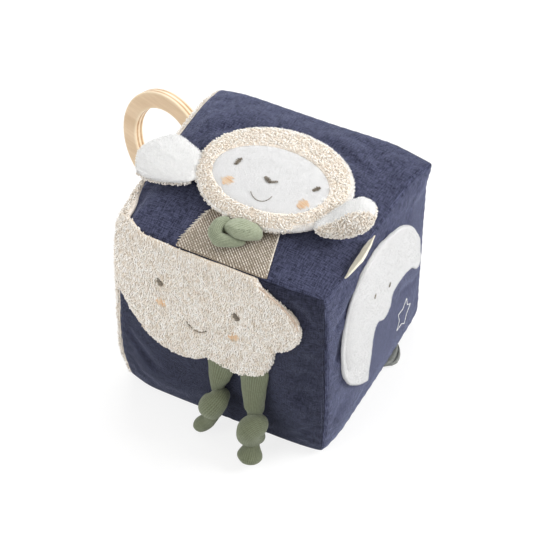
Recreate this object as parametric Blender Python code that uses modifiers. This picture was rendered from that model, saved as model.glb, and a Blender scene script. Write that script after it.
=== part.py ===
# Soft fabric block for a baby: a padded cube with a lamb's head on top, a cloud with two
# knotted legs in front, a moon on the right, a wooden ring at the back left and a rattle inside.
# Metres, +Z up. X runs to the right, Y to the back, and the origin is on the floor under the
# middle of the block, which is the middle of its flat base.

import bmesh
import bpy
from math import cos, pi, radians, sin, sqrt
from mathutils import Matrix, Vector
from mathutils.bvhtree import BVHTree
from mathutils.geometry import interpolate_bezier

# Block
block_width = 0.130
block_depth = 0.122
block_height = 0.132
seam_lift = 0.002          # bottom seams above the floor
cover_thickness = 0.0035   # face fabric with its wadding
corner_pull = 0.0012       # how far the eight corners draw in
corner_swell = 0.0030      # how far the top right back corner is stuffed out
crowns = {
    "top": 0.006,
    "front": 0.005,
    "right": 0.006,
    "left": 0.008,
    "back": 0.006,
    "bottom": 0.0055,
}
clearance = 0.0003         # between pieces that touch
weld_distance = 0.000001

# Appliqués
cloud_pile = 0.0035
moon_pile = 0.0020
twill_thickness = 0.0012
pile_edge_share = 0.35     # how much of the pile is left where it runs into a seam
cutter_reach = 0.030

# Lamb's head, seen from above: an oval cushion, lying on its back
head_length = 0.092        # ear to ear
head_breadth = 0.077       # chin to crown
head_centre_x = 0.0045
head_centre_y = -0.0040
head_front_rise = 0.0065
head_back_rise = 0.0070
head_wall = 0.0025
face_share = 0.69          # of the head's half length
face_widening_share = 1.08
face_lowering_share = 0.92
face_drop = 0.0050         # the face sits nearer the chin than the crown
face_thickness = 0.0015
face_recess = 0.0010
face_rise = 0.0020
neck_width = 0.022
neck_depth = 0.0030
neck_height = 0.0008
neck_inset = 0.0040        # from the chin

# Ears
ear_length_left = 0.038
ear_length_right = 0.033   # this one curls up
ear_width = 0.035
ear_velour_thickness = 0.0040
ear_terry_thickness = 0.0060
ear_root_share = 0.65
ear_root_thickness_share = 0.30    # of the ear's own, where it is sewn in
ear_swell_share = 0.40     # of its length, over which it fills out
ear_cut_share = 0.72       # where the ear's narrow end is cut off, on a unit sphere
ear_drop = 0.0130          # below the head's middle, on the rim
ear_gap = 0.0010           # from the rim to the middle of the ear's root
ear_lift_right = 33.0      # degrees above level

# Scarf
scarf_knot_size = (0.0044, 0.0044, 0.0042)
scarf_knot_forward = 0.0075
scarf_knot_left = 0.0098
scarf_left_size = (0.0085, 0.0190, 0.0042)
scarf_right_size = (0.0205, 0.0130, 0.0036)
scarf_left_aim = 202.0     # degrees
scarf_right_aim = 17.0
scarf_left_slope = -4.0
scarf_right_slope = 1.5

# Legs: stuffed tubes, each tied in a knot. Each move starts from the place before it.
hip_height = 0.0515
hip_left_x = 0.0012
knot_left_move = (0.0022, -0.0080, -0.0230)
leave_left_move = (-0.0020, -0.0030, -0.0125)
foot_left_move = (-0.0060, -0.0004, -0.0095)
foot_left_radii = (0.0038, 0.0048, 0.0024)
leg_left_radius = 0.0060
knot_left_strand = 0.0050
knot_left_turn = 200       # degrees
hip_right_x = 0.0236
knot_right_move = (0.0036, -0.0108, -0.0318)
leave_right_move = (0.0010, -0.0034, -0.0106)
foot_right_move = (0.0016, -0.0080, -0.0046)
foot_floor = 0.0008        # a foot that reaches the floor is flat there
foot_right_radii = (0.0046, 0.0066, 0.0072)
leg_right_radius = 0.0070
knot_right_strand = 0.0054
knot_right_turn = 160
band_share = 0.92          # thickness of the strand that wraps the knot, of its spacing
band_width_share = 2.15
band_taper_share = 1.5     # strand widths over which it spreads
knot_gap = 0.0009          # least gap between the strands
knot_slope_share = 0.9     # how fast the tube swells away from the knot
march_step = 0.0002
smooth_rounds = 4
hip_thickness = 0.0024
hip_spread_share = 0.16
hip_taper = 0.020
tube_sides = 12

# Wooden ring and its loop
ring_radius = 0.035
ring_hole_radius = 0.0244
ring_thickness = 0.0070
ring_edge = 0.0016
ring_turn = 162.5          # degrees, from +X, of the line from the seam to the ring's middle
ring_tilt = 11.8
ring_reach = 0.0450        # from the seam to the ring's middle
ring_height = 0.052
loop_width = 0.012
loop_band = 0.0012
loop_play = 0.0030         # air round the ring inside the loop
loop_root = 0.0012         # the band's end, beside the seam
loop_root_half = 0.0004

# Ribbons
label_width = 0.030
label_length = 0.011
label_thickness = 0.0036
label_start = -0.042       # along the seam
label_lean = 62.0           # degrees above level
tab_width = 0.015
tab_length = 0.0058
tab_thickness = 0.0026
tab_middle = 0.0240        # along the seam
ribbon = 0.0005            # one layer
label_root = 0.0011        # where each comes out of its seam
tab_root = 0.0014

# Rattle
case_radius = 0.017
case_height = 0.024
case_wall = 0.0015
case_lip = 0.0030
case_corner = 0.0050
bead_radius = 0.0036
bead_circle = 0.0080
bead_count = 3

# Counts and exponents
panel_cells = 10
crown_power = 4
corner_power = 6
swell_power = 4
dome_power = 2.5
turn_steps = 32

half = Vector((block_width / 2, block_depth / 2, (block_height - seam_lift) / 2))
middle = Vector((0, 0, (block_height + seam_lift) / 2))
FACES = {
    "top": (Vector((0, 0, 1)), Vector((1, 0, 0)), Vector((0, 1, 0))),
    "front": (Vector((0, -1, 0)), Vector((1, 0, 0)), Vector((0, 0, 1))),
    "right": (Vector((1, 0, 0)), Vector((0, 1, 0)), Vector((0, 0, 1))),
    "left": (Vector((-1, 0, 0)), Vector((0, -1, 0)), Vector((0, 0, 1))),
    "back": (Vector((0, 1, 0)), Vector((-1, 0, 0)), Vector((0, 0, 1))),
    "bottom": (Vector((0, 0, -1)), Vector((1, 0, 0)), Vector((0, -1, 0))),
}

NAVY = (0.085, 0.095, 0.190, 1)
CREAM = (0.720, 0.660, 0.570, 1)
WHITE = (0.880, 0.880, 0.870, 1)
TWILL = (0.520, 0.440, 0.350, 1)
GREEN = (0.190, 0.210, 0.130, 1)
SAGE = (0.350, 0.400, 0.280, 1)
BEECH = (0.780, 0.600, 0.400, 1)
SATIN = (0.850, 0.800, 0.640, 1)
FOAM = (0.900, 0.880, 0.760, 1)
WADDING = (0.930, 0.930, 0.930, 1)
CASE = (0.850, 0.850, 0.800, 1)
BEAD = (0.700, 0.300, 0.200, 1)


# Scene, materials and objects

for old in list(bpy.data.objects):
    bpy.data.objects.remove(old, do_unlink=True)


def new_collection(name):
    collection = bpy.data.collections.new(name)
    bpy.context.scene.collection.children.link(collection)
    return collection


parts = new_collection("soft_fabric_block")
cutters = new_collection("cutters")


def material(name, colour, roughness):
    mat = bpy.data.materials.new(name)
    mat.use_nodes = True
    shader = mat.node_tree.nodes["Principled BSDF"]
    shader.inputs["Base Color"].default_value = colour
    shader.inputs["Roughness"].default_value = roughness
    return mat


def add_part(name, mesh, colour, roughness=0.9):
    """Put a finished mesh in the parts collection under its node's name."""
    mesh.shade_smooth()
    mesh.set_sharp_from_angle(angle=radians(50))
    obj = bpy.data.objects.new(name, mesh)
    mesh.materials.clear()
    mesh.materials.append(material(name, colour, roughness))
    parts.objects.link(obj)
    return obj


def add_cutter(name, mesh):
    obj = bpy.data.objects.new(name, mesh)
    obj.hide_render = True
    obj.display_type = "WIRE"
    cutters.objects.link(obj)
    return obj


def mesh_from(bm, name):
    bmesh.ops.recalc_face_normals(bm, faces=bm.faces)
    mesh = bpy.data.meshes.new(name)
    bm.to_mesh(mesh)
    bm.free()
    return mesh


def cut(obj, cutter, operation):
    modifier = obj.modifiers.new(cutter.name, "BOOLEAN")
    modifier.operation = operation
    modifier.object = cutter
    return modifier


def mesh_of_curve(curve, matrix):
    """A curve's mesh, closed where its caps meet its sides, and moved into place."""
    holder = bpy.data.objects.new(curve.name, curve)
    bpy.context.scene.collection.objects.link(holder)
    depsgraph = bpy.context.evaluated_depsgraph_get()
    mesh = bpy.data.meshes.new_from_object(holder.evaluated_get(depsgraph))
    bpy.data.objects.remove(holder, do_unlink=True)
    bm = bmesh.new()
    bm.from_mesh(mesh)
    bmesh.ops.remove_doubles(bm, verts=bm.verts, dist=weld_distance)
    bmesh.ops.transform(bm, matrix=matrix, verts=bm.verts)
    return mesh_from(bm, curve.name)


def frame_matrix(origin, x_axis, y_axis):
    """A right-handed frame at origin, with x_axis kept and y_axis squared up to it."""
    x_axis = x_axis.normalized()
    z_axis = x_axis.cross(y_axis).normalized()
    y_axis = z_axis.cross(x_axis)
    return Matrix.Translation(origin) @ Matrix((x_axis, y_axis, z_axis)).transposed().to_4x4()


def flat_outline(name, outlines, thickness, matrix, corner=()):
    """A plate cut to one outline, with any further outlines as holes in it."""
    curve = bpy.data.curves.new(name, "CURVE")
    curve.dimensions = "2D"
    curve.fill_mode = "BOTH"
    curve.extrude = thickness / 2
    curve.resolution_u = 5
    for points in outlines:
        spline = curve.splines.new("BEZIER")
        spline.bezier_points.add(len(points) - 1)
        spline.use_cyclic_u = True
        for i, (point, place) in enumerate(zip(spline.bezier_points, points)):
            point.co = (place[0], place[1], 0)
            kind = "VECTOR" if points is outlines[0] and i in corner else "AUTO"
            point.handle_left_type = kind
            point.handle_right_type = kind
    return mesh_of_curve(curve, matrix)


# Block: six padded covers round a foam core

def rise(t):
    return sqrt(max(0.0, 1 - abs(t) ** crown_power))


def sign(t):
    return (t > 0) - (t < 0)


def face_half(face):
    normal, along, up = FACES[face]
    return tuple(abs(axis.dot(half)) for axis in (normal, along, up))


def block_point(face, a, b, depth):
    """A point under a face: a and b run from -1 to 1 between its seams."""
    normal, along, up = FACES[face]
    reach, half_a, half_b = face_half(face)
    bulge = crowns[face] * rise(a) * rise(b)
    point = middle + normal * (reach - depth + bulge)
    point += along * a * (half_a - depth) + up * b * (half_b - depth)
    pull = corner_pull * abs(a * b) ** corner_power
    point -= (normal + along * sign(a) + up * sign(b)) * pull
    near = [min(1.0, (1 + (point - middle)[i] / half[i]) / 2) for i in range(3)]
    point += Vector((1, 1, 1)) * corner_swell * (near[0] * near[1] * near[2]) ** swell_power
    if face == "bottom":
        point.z = max(point.z, depth)
    return point


def spread(t):
    """Crowd the cells towards the seams, where a padded face curves most."""
    return sin(t * pi / 2)


def padded_sheet(face, outer, inner, taper=False, cells=panel_cells):
    """A sheet that follows a face, between two depths under it, with mitred edges."""
    bm = bmesh.new()
    bmesh.ops.create_grid(bm, x_segments=cells, y_segments=cells, size=1)
    shell = bmesh.ops.extrude_face_region(bm, geom=bm.faces[:], use_keep_orig=True)
    lid = {v for v in shell["geom"] if isinstance(v, bmesh.types.BMVert)}
    half_a, half_b = face_half(face)[1:]
    for vert in bm.verts:
        a = spread(vert.co.x) * (1 - clearance / half_a)
        b = spread(vert.co.y) * (1 - clearance / half_b)
        depth = outer if vert in lid else inner
        if taper and vert in lid:
            full = rise(a) * rise(b)
            depth = inner + (outer - inner) * (pile_edge_share + (1 - pile_edge_share) * full)
        vert.co = block_point(face, a, b, depth)
    return mesh_from(bm, face + "_sheet")


PANEL_COLOURS = {
    "top": NAVY,
    "front": NAVY,
    "right": NAVY,
    "left": CREAM,
    "back": NAVY,
    "bottom": NAVY,
}
for face, colour in PANEL_COLOURS.items():
    add_part(face + "_panel", padded_sheet(face, 0, cover_thickness), colour)


def core_mesh(depth):
    """The closed form at one depth under the covers."""
    bm = bmesh.new()
    bmesh.ops.create_cube(bm, size=2)
    bmesh.ops.subdivide_edges(bm, edges=bm.edges[:], cuts=panel_cells - 1, use_grid_fill=True)
    for vert in bm.verts:
        place = vert.co.copy()
        face = max(FACES, key=lambda name: place.dot(FACES[name][0]))
        normal, along, up = FACES[face]
        vert.co = block_point(face, spread(place.dot(along)), spread(place.dot(up)), depth)
    return mesh_from(bm, "core")


def box_cutter(name, low, high):
    bm = bmesh.new()
    bmesh.ops.create_cube(bm, size=1)
    for vert in bm.verts:
        share = vert.co + Vector((0.5, 0.5, 0.5))
        vert.co = [low[i] + (high[i] - low[i]) * share[i] for i in range(3)]
    return add_cutter(name, mesh_from(bm, name))


def drum_cutter(name, centre, radius, height):
    bm = bmesh.new()
    bmesh.ops.create_cone(
        bm, cap_ends=True, segments=turn_steps, radius1=radius, radius2=radius, depth=height
    )
    bmesh.ops.translate(bm, vec=centre, verts=bm.verts)
    return add_cutter(name, mesh_from(bm, name))


rattle_centre = middle.copy()
pocket = drum_cutter(
    "rattle_pocket", rattle_centre, case_radius + clearance, case_height + 2 * clearance
)
wide = Vector((block_width, block_depth, 0))
for name, low_z, high_z in (
    ("foam_core_lower", -block_height, middle.z - clearance / 2),
    ("foam_core_upper", middle.z + clearance / 2, 2 * block_height),
):
    slab = box_cutter(name + "_half", -wide + Vector((0, 0, low_z)), wide + Vector((0, 0, high_z)))
    core = add_part(name, core_mesh(cover_thickness + clearance), FOAM)
    cut(core, slab, "INTERSECT")
    cut(core, pocket, "DIFFERENCE")


# Turned shapes: the rattle's case and the head's covers

def turned(
    name, profile, colour, centre, stretch=1.0, roughness=0.9, closed=False, face_shift=0.0
):
    """Spin a profile of (radius, height) places about a vertical axis."""
    bm = bmesh.new()
    verts = [bm.verts.new((r, 0, z)) for r, z in profile]
    ends = verts[1:] + verts[:1] if closed else verts[1:]
    edges = [bm.edges.new(pair) for pair in zip(verts, ends)]
    bmesh.ops.spin(
        bm, geom=verts + edges, axis=(0, 0, 1), cent=(0, 0, 0), angle=2 * pi, steps=turn_steps
    )
    bmesh.ops.remove_doubles(bm, verts=bm.verts, dist=weld_distance)
    for vert in bm.verts:
        if face_shift:
            lining = 1 - head_wall / head_radius
            share = Vector((vert.co.x, vert.co.y)).length / head_radius
            inward = min(1.0, max(0.0, (lining - share) / (lining - face_share)))
            vert.co.x *= 1 + inward * (face_widening_share - 1)
            vert.co.y *= 1 + inward * (face_lowering_share - 1)
            vert.co.y -= inward * face_shift / stretch
        vert.co.y *= stretch
    bmesh.ops.translate(bm, vec=centre, verts=bm.verts)
    return add_part(name, mesh_from(bm, name), colour, roughness)


def rounded(r, z, corner, steps=4):
    """A quarter round in a profile, from the axis side out to radius r and height z."""
    turn = [radians(90) * i / steps for i in range(steps + 1)]
    return [(r - corner + corner * sin(t), z + corner - corner * cos(t)) for t in turn]


case_half = case_height / 2
lower_outside = [(0, -case_half)] + rounded(case_radius, -case_half, case_corner)
inner_radius = case_radius - case_wall
inner_floor = -case_half + case_wall
lower_inside = [(0, inner_floor)] + rounded(inner_radius, inner_floor, case_corner - case_wall)
lip_radius = case_radius - case_wall / 2
lower_rim = [
    (case_radius, -clearance / 2),
    (lip_radius, -clearance / 2),
    (lip_radius, case_lip),
    (inner_radius, case_lip),
]
turned(
    "rattle_case_lower", lower_outside + lower_rim + lower_inside[::-1], CASE, rattle_centre,
    roughness=0.4,
)
upper_outside = [(r, -z) for r, z in lower_outside]
upper_inside = [(r, -z) for r, z in lower_inside]
upper_rim = [
    (case_radius, clearance / 2),
    (lip_radius + clearance, clearance / 2),
    (lip_radius + clearance, case_lip + clearance),
    (inner_radius, case_lip + clearance),
]
turned(
    "rattle_case_upper", upper_outside + upper_rim + upper_inside[::-1], CASE, rattle_centre,
    roughness=0.4,
)
bead_floor = rattle_centre.z + inner_floor + clearance
bead_places = []
for i in range(bead_count):
    turn = 2 * pi * i / bead_count
    bm = bmesh.new()
    bmesh.ops.create_uvsphere(bm, u_segments=10, v_segments=6, radius=bead_radius)
    place = Vector((bead_circle * cos(turn), bead_circle * sin(turn), bead_floor + bead_radius))
    bead_places.append(place)
    bmesh.ops.translate(bm, vec=place, verts=bm.verts)
    name = "rattle_bead_%d" % (i + 1)
    add_part(name, mesh_from(bm, name), BEAD, 0.3)


# Appliqués: sheets that follow a face, cut to an outline

def applique(name, face, outline_shares, corner, pile, colour, taper=False):
    """Cut a sheet of cloth that lies on a face to an outline given in shares of that face."""
    normal, along, up = FACES[face]
    reach, half_a, half_b = face_half(face)
    outline = [(a * half_a, b * half_b) for a, b in outline_shares]
    place = frame_matrix(middle + normal * reach, along, up)
    blade = flat_outline(name + "_outline", [outline], cutter_reach, place, corner)
    sheet = add_part(name, padded_sheet(face, -clearance - pile, -clearance, taper), colour)
    cut(sheet, add_cutter(name + "_outline", blade), "INTERSECT")
    return sheet


# Shares of half the face, from its middle: the cloud runs into the left and the top seams.
cloud_shares = [
    (-1.30, 1.30), (-1.30, 0.42), (-0.94, 0.24), (-0.80, 0.03), (-0.63, -0.15), (-0.36, -0.24),
    (-0.18, -0.20), (-0.09, -0.13), (0.06, -0.17), (0.24, -0.20), (0.41, -0.15), (0.52, 0.00),
    (0.575, 0.25), (0.71, 0.34), (0.80, 0.50), (0.78, 0.69), (0.64, 0.83), (0.33, 1.05),
    (0.20, 1.30),
]
applique("cloud_applique", "front", cloud_shares, (0, 1, 7, 12, 18), cloud_pile, CREAM, True)
moon_shares = [
    (-0.36, -0.57), (-0.56, -0.44), (-0.75, -0.24), (-0.84, 0.10), (-0.78, 0.52), (-0.58, 0.79),
    (-0.28, 0.88), (0.05, 0.86), (0.38, 0.74), (0.62, 0.47), (0.74, 0.15), (0.72, -0.05),
    (0.54, 0.08), (0.32, 0.15), (0.14, 0.13), (0.06, 0.00), (-0.08, -0.03), (-0.19, 0.03),
    (-0.28, -0.10), (-0.33, -0.34),
]
applique("moon_applique", "right", moon_shares, (0,), moon_pile, WHITE)
body_shares = [(-0.48, -1.30), (0.54, -1.30), (0.35, -0.52), (-0.30, -0.52)]
applique("lamb_body", "top", body_shares, (0, 1, 2, 3), twill_thickness, TWILL)


# Lamb's head: a flat cushion on a short neck

def dome(share):
    return sqrt(max(0.0, 1 - min(1.0, share) ** dome_power))


def dome_curve(radius, height, base, inner_share=0.0, steps=7):
    """Profile places over a dome, from the axis or a hole out to its rim."""
    first = inner_share
    places = []
    for i in range(steps + 1):
        share = first + (1 - first) * sin(radians(90) * i / steps)
        places.append((radius * share, base + height * dome(share)))
    return places


head_radius = head_length / 2
head_stretch = head_breadth / head_length
head_rest = block_height + crowns["top"] + clearance
head_centre = Vector((head_centre_x, head_centre_y, head_rest + head_back_rise + clearance / 2))
rim_gap = clearance / 2
lining_radius = head_radius - head_wall

back_outside = dome_curve(head_radius, -head_back_rise, -rim_gap)
back_inside = dome_curve(lining_radius, head_wall - head_back_rise, -rim_gap)
turned("head_back", back_outside + back_inside[::-1], CREAM, head_centre, head_stretch)

hole_share = face_share
lining_share = face_share * head_radius / lining_radius
ring_outside = dome_curve(head_radius, head_front_rise, rim_gap, hole_share)
ring_inside = dome_curve(lining_radius, head_front_rise - head_wall, rim_gap, lining_share)
turned(
    "head_front", ring_outside + ring_inside[::-1], CREAM, head_centre, head_stretch,
    closed=True, face_shift=face_drop,
)

face_radius = face_share * head_radius - clearance
face_edge = rim_gap + head_front_rise * dome(face_share) - face_recess
face_outside = dome_curve(face_radius, face_rise, face_edge)
face_inside = dome_curve(face_radius, face_rise, face_edge - face_thickness)
turned(
    "head_face", face_outside + face_inside[::-1], WHITE, head_centre, head_stretch,
    face_shift=face_drop,
)

filling_radius = lining_radius - clearance
filling_front = (face_edge - face_thickness - 2 * clearance) / dome(face_share)
filling_back = head_wall + clearance - head_back_rise
filling_top = dome_curve(filling_radius, filling_front, 0)
filling_bottom = dome_curve(filling_radius, filling_back, 0)
turned(
    "head_filling", filling_top + filling_bottom[-2::-1], WADDING, head_centre, head_stretch
)

head_chin_y = head_centre_y - head_breadth / 2
neck_front_y = head_chin_y + neck_inset
neck_back_y = neck_front_y + neck_depth


def top_surface(x, y):
    """Height of the top cover, with the lamb's body on it, over a place on the block."""
    a = x / half.x
    b = y / half.y
    return block_height + crowns["top"] * rise(a) * rise(b) + clearance + twill_thickness


neck_floor = top_surface(head_centre_x, neck_back_y) + clearance
neck_low = Vector((head_centre_x - neck_width / 2, neck_front_y, neck_floor))
neck_high = Vector((head_centre_x + neck_width / 2, neck_back_y, neck_floor + neck_height))
bm = bmesh.new()
bmesh.ops.create_cube(bm, size=1)
for vert in bm.verts:
    share = vert.co + Vector((0.5, 0.5, 0.5))
    vert.co = [neck_low[i] + (neck_high[i] - neck_low[i]) * share[i] for i in range(3)]
neck = add_part("neck_tab", mesh_from(bm, "neck_tab"), TWILL)
soften = neck.modifiers.new("soft_edges", "BEVEL")
soften.width = neck_height / 4
soften.segments = 2


# Stuffed lobes: the ears and the scarf's ends

def lobe(name, place, colour, length, width, thickness, layer=0, root_slope=0.0):
    """A flat stuffed lobe along +X of its place. Layer 1 is an upper half, -1 a lower one."""
    bm = bmesh.new()
    bmesh.ops.create_uvsphere(bm, u_segments=14, v_segments=8, radius=1)
    cuts = [((-ear_cut_share, 0, 0), (-1, 0, 0))]
    if layer:
        cuts.append(((0, 0, 0), (0, 0, -layer)))
    for spot, normal in cuts:
        geom = bm.verts[:] + bm.edges[:] + bm.faces[:]
        bmesh.ops.bisect_plane(bm, geom=geom, plane_co=spot, plane_no=normal, clear_outer=True)
        bmesh.ops.holes_fill(bm, edges=[e for e in bm.edges if e.is_boundary])
    for vert in bm.verts:
        share = (vert.co.x + ear_cut_share) / (1 + ear_cut_share)
        vert.co.x = length * share
        vert.co.y *= ear_root_share + (1 - ear_root_share) * share
        filled = min(1.0, share / ear_swell_share)
        vert.co.z *= ear_root_thickness_share + (1 - ear_root_thickness_share) * filled
    widest = max(vert.co.y for vert in bm.verts)
    for vert in bm.verts:
        vert.co.y *= width / 2 / widest
        vert.co.x += root_slope * vert.co.y * (1 - vert.co.x / length)
        vert.co.z = vert.co.z * thickness / (1 if layer else 2) + layer * clearance / 2
    bmesh.ops.transform(bm, matrix=place, verts=bm.verts)
    return add_part(name, mesh_from(bm, name), colour)


def aimed(origin, azimuth, elevation):
    """A frame whose X runs off at an azimuth and an elevation, with its Y kept level."""
    turn = Matrix.Rotation(radians(azimuth), 4, "Z") @ Matrix.Rotation(-radians(elevation), 4, "Y")
    return Matrix.Translation(origin) @ turn


ear_fall = ear_drop / (head_breadth / 2)
rim_reach = head_radius * sqrt(1 - ear_fall ** 2)
rim_slope = ear_fall / head_stretch / sqrt(1 - ear_fall ** 2)
ear_roots = {}
for side, hand, azimuth, length, lift in (
    ("left", -1, 180, ear_length_left, 0),
    ("right", 1, 0, ear_length_right, ear_lift_right),
):
    root = head_centre + Vector((hand * (rim_reach + ear_gap), -ear_drop, 0))
    ear_roots[side] = root
    place = aimed(root, azimuth, lift)
    slope = hand * rim_slope
    velour = (length, ear_width, ear_velour_thickness)
    terry = (length, ear_width, ear_terry_thickness)
    lobe("ear_%s_velour" % side, place, WHITE, *velour, layer=1, root_slope=slope)
    lobe("ear_%s_terry" % side, place, CREAM, *terry, layer=-1, root_slope=slope)

scarf_x = head_centre_x - scarf_knot_left
scarf_y = head_chin_y - scarf_knot_forward
scarf_floor = top_surface(scarf_x, scarf_y) + 2 * clearance
scarf_centre = Vector((scarf_x, scarf_y, scarf_floor + scarf_knot_size[2] / 2))
bm = bmesh.new()
bmesh.ops.create_uvsphere(bm, u_segments=12, v_segments=8, radius=1)
for vert in bm.verts:
    vert.co = scarf_centre + Vector([vert.co[i] * scarf_knot_size[i] / 2 for i in range(3)])
add_part("scarf_knot", mesh_from(bm, "scarf_knot"), SAGE)
scarf_step = scarf_knot_size[0] / 2 + clearance
for side, azimuth, slope, sizes in (
    ("left", scarf_left_aim, scarf_left_slope, scarf_left_size),
    ("right", scarf_right_aim, scarf_right_slope, scarf_right_size),
):
    ahead = Matrix.Rotation(radians(azimuth), 3, "Z") @ Vector((scarf_step, 0, 0))
    lobe("scarf_end_" + side, aimed(scarf_centre + ahead, azimuth, slope), SAGE, *sizes)


# Legs: one stuffed tube each, tied in an overhand knot

def knot_route(strand):
    """The knot's centreline: in at the top, round it a turn and more, and out below."""
    entry = [(0.00, 0.00, 2.60), (0.00, 0.02, 1.50), (-0.20, 0.00, 0.80), (-0.56, -0.10, 0.30)]
    leave = [(0.00, -0.83, 0.27), (0.18, -0.42, -0.20), (0.04, -0.05, -0.80)]
    coil = []
    for degrees in range(205, 611, 27):
        turn = radians(degrees)
        height = 0.13 - 1.19 * cos(0.766 * radians(degrees - 300))
        coil.append((cos(turn), sin(turn), height))
    return [Vector(place) * strand for place in entry + coil + leave]


def smooth_line(points, step):
    """Places about a step apart on a smooth curve through the points."""
    ends = [2 * points[0] - points[1]] + points + [2 * points[-1] - points[-2]]
    line = []
    for i in range(1, len(ends) - 2):
        before, start, stop, after = ends[i - 1:i + 3]
        reach = (stop - start).length / 3
        lead = (stop - before).normalized() * reach
        lag = (after - start).normalized() * reach
        count = max(2, round((stop - start).length / step) + 1)
        line += interpolate_bezier(start, start + lead, stop - lag, stop, count)[:-1]
    return line + [points[-1]]


class Tube:
    """A stuffed tube along a line: round where it runs free, a flat band round its knot."""

    def __init__(self, line, knot_frame, radius, strand, foot_radii, foot_length):
        self.line = line
        self.radius = radius
        self.strand = strand
        self.count = len(line)
        self.along = [0.0]
        for before, after in zip(line, line[1:]):
            self.along.append(self.along[-1] + (after - before).length)
        self.tangents = []
        for i in range(self.count):
            ahead = line[min(i + 1, self.count - 1)]
            behind = line[max(i - 1, 0)]
            self.tangents.append((ahead - behind).normalized())
        inside = knot_frame.inverted()
        self.axis = knot_frame.to_3x3()
        self.local = [(inside @ place) / strand for place in line]
        coil = [
            i for i, v in enumerate(self.local)
            if Vector((v.x, v.y)).length > 0.86 and abs(v.z) < 1.5
        ]
        self.first, self.last = coil[0], coil[-1]
        self.set_frames()
        self.set_sections(foot_radii, foot_length)

    def set_frames(self):
        """Directions away from the knot's middle on the coil, carried along the rest."""
        self.outs = [None] * self.count
        for i in range(self.first, self.last + 1):
            away = self.axis @ Vector((self.local[i].x, self.local[i].y, 0))
            self.outs[i] = self.squared(away, i)
        for i in range(self.first - 1, -1, -1):
            self.outs[i] = self.squared(self.outs[i + 1], i)
        for i in range(self.last + 1, self.count):
            self.outs[i] = self.squared(self.outs[i - 1], i)

    def squared(self, away, i):
        tangent = self.tangents[i]
        return (away - tangent * away.dot(tangent)).normalized()

    def side(self, i, k):
        """The direction and the oval place of one corner of a section."""
        turn = 2 * pi * k / tube_sides
        across = self.tangents[i].cross(self.outs[i])
        return self.outs[i] * cos(turn), across * sin(turn)

    def set_sections(self, foot_radii, foot_length):
        whole = self.along[-1]
        thin = self.strand * band_share / 2
        full_width = self.strand * band_width_share / 2
        self.rings = []
        for i in range(self.count):
            end = min(self.along[i] - self.along[self.first], self.along[self.last] - self.along[i])
            share = min(1.0, max(0.0, end / (band_taper_share * self.strand)))
            wide = thin + (full_width - thin) * share * share * (3 - 2 * share)
            ring = []
            for k in range(tube_sides):
                out, across = self.side(i, k)
                ring.append(self.line[i] + out * thin + across * wide)
            self.rings.append(ring)
        band = range(self.first, self.last + 1)
        tree = self.tree(band)
        reach = {}
        for i in range(self.count):
            if i in band:
                continue
            plain = self.radius
            left = whole - self.along[i]
            if left < foot_length:
                share = 1 - left / foot_length
                start, bulge, end = foot_radii
                plain = start + (bulge - start) * sin(share * pi / 2)
                plain += (end - bulge) * share ** 4
            for j in range(self.count):
                far = abs(self.along[i] - self.along[j]) > 2.5 * self.strand
                if far and j not in band:
                    apart = (self.line[i] - self.line[j]).length
                    plain = min(plain, (apart - knot_gap) / 2)
            near = min(abs(self.along[i] - self.along[j]) for j in (self.first, self.last))
            plain = min(plain, thin + near * knot_slope_share)
            for k in range(tube_sides):
                reach[i, k] = self.march(i, k, plain, tree)
        for _ in range(smooth_rounds):
            reach = self.eased(reach)
        for (i, k), radius in reach.items():
            out, across = self.side(i, k)
            self.rings[i][k] = self.line[i] + (out + across) * radius

    def tree(self, sections):
        """The skin over some sections, for measuring from, and the section of each face."""
        verts = [vert for ring in self.rings for vert in ring]
        faces = []
        self.owner = []
        for i in list(sections)[:-1]:
            for k in range(tube_sides):
                after = (k + 1) % tube_sides
                here, there = i * tube_sides, (i + 1) * tube_sides
                faces.append((here + k, here + after, there + after, there + k))
                self.owner.append(i)
        return BVHTree.FromPolygons(verts, faces)

    def room(self, place, i, tree):
        """Distance from a place on section i to the skin of the tube's other turns."""
        near = [self.radius]
        for _, _, face, distance in tree.find_nearest_range(place, self.radius):
            if abs(self.along[self.owner[face]] - self.along[i]) > 1.6 * self.strand:
                near.append(distance)
        return min(near)

    def march(self, i, k, plain, tree):
        """How far a corner can go out before it meets another turn."""
        out, across = self.side(i, k)
        radius = march_step
        while radius < plain:
            if self.room(self.line[i] + (out + across) * radius, i, tree) < knot_gap:
                break
            radius += march_step
        return min(plain, radius) - march_step / 2

    def eased(self, reach):
        """Pull each corner in to no more than its neighbours' mean."""
        eased = {}
        for (i, k), radius in reach.items():
            near = [reach.get((i + 1, k)), reach.get((i - 1, k))]
            near += [reach[i, (k + 1) % tube_sides], reach[i, (k - 1) % tube_sides]]
            near = [other for other in near if other is not None]
            eased[i, k] = min(radius, sum(near) / len(near) + knot_gap / 4)
        return eased

    def least_gap(self):
        tree = self.tree(range(self.count))
        return min(
            self.room(place, i, tree) for i, ring in enumerate(self.rings) for place in ring
        )

    def mesh(self, name):
        bm = bmesh.new()
        rings = [[bm.verts.new(place) for place in ring] for ring in self.rings]
        for ring, after in zip(rings, rings[1:]):
            for k in range(tube_sides):
                beside = (k + 1) % tube_sides
                bm.faces.new((ring[k], ring[beside], after[beside], after[k]))
        bm.faces.new(rings[0])
        bm.faces.new(rings[-1])
        return mesh_from(bm, name)


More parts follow.
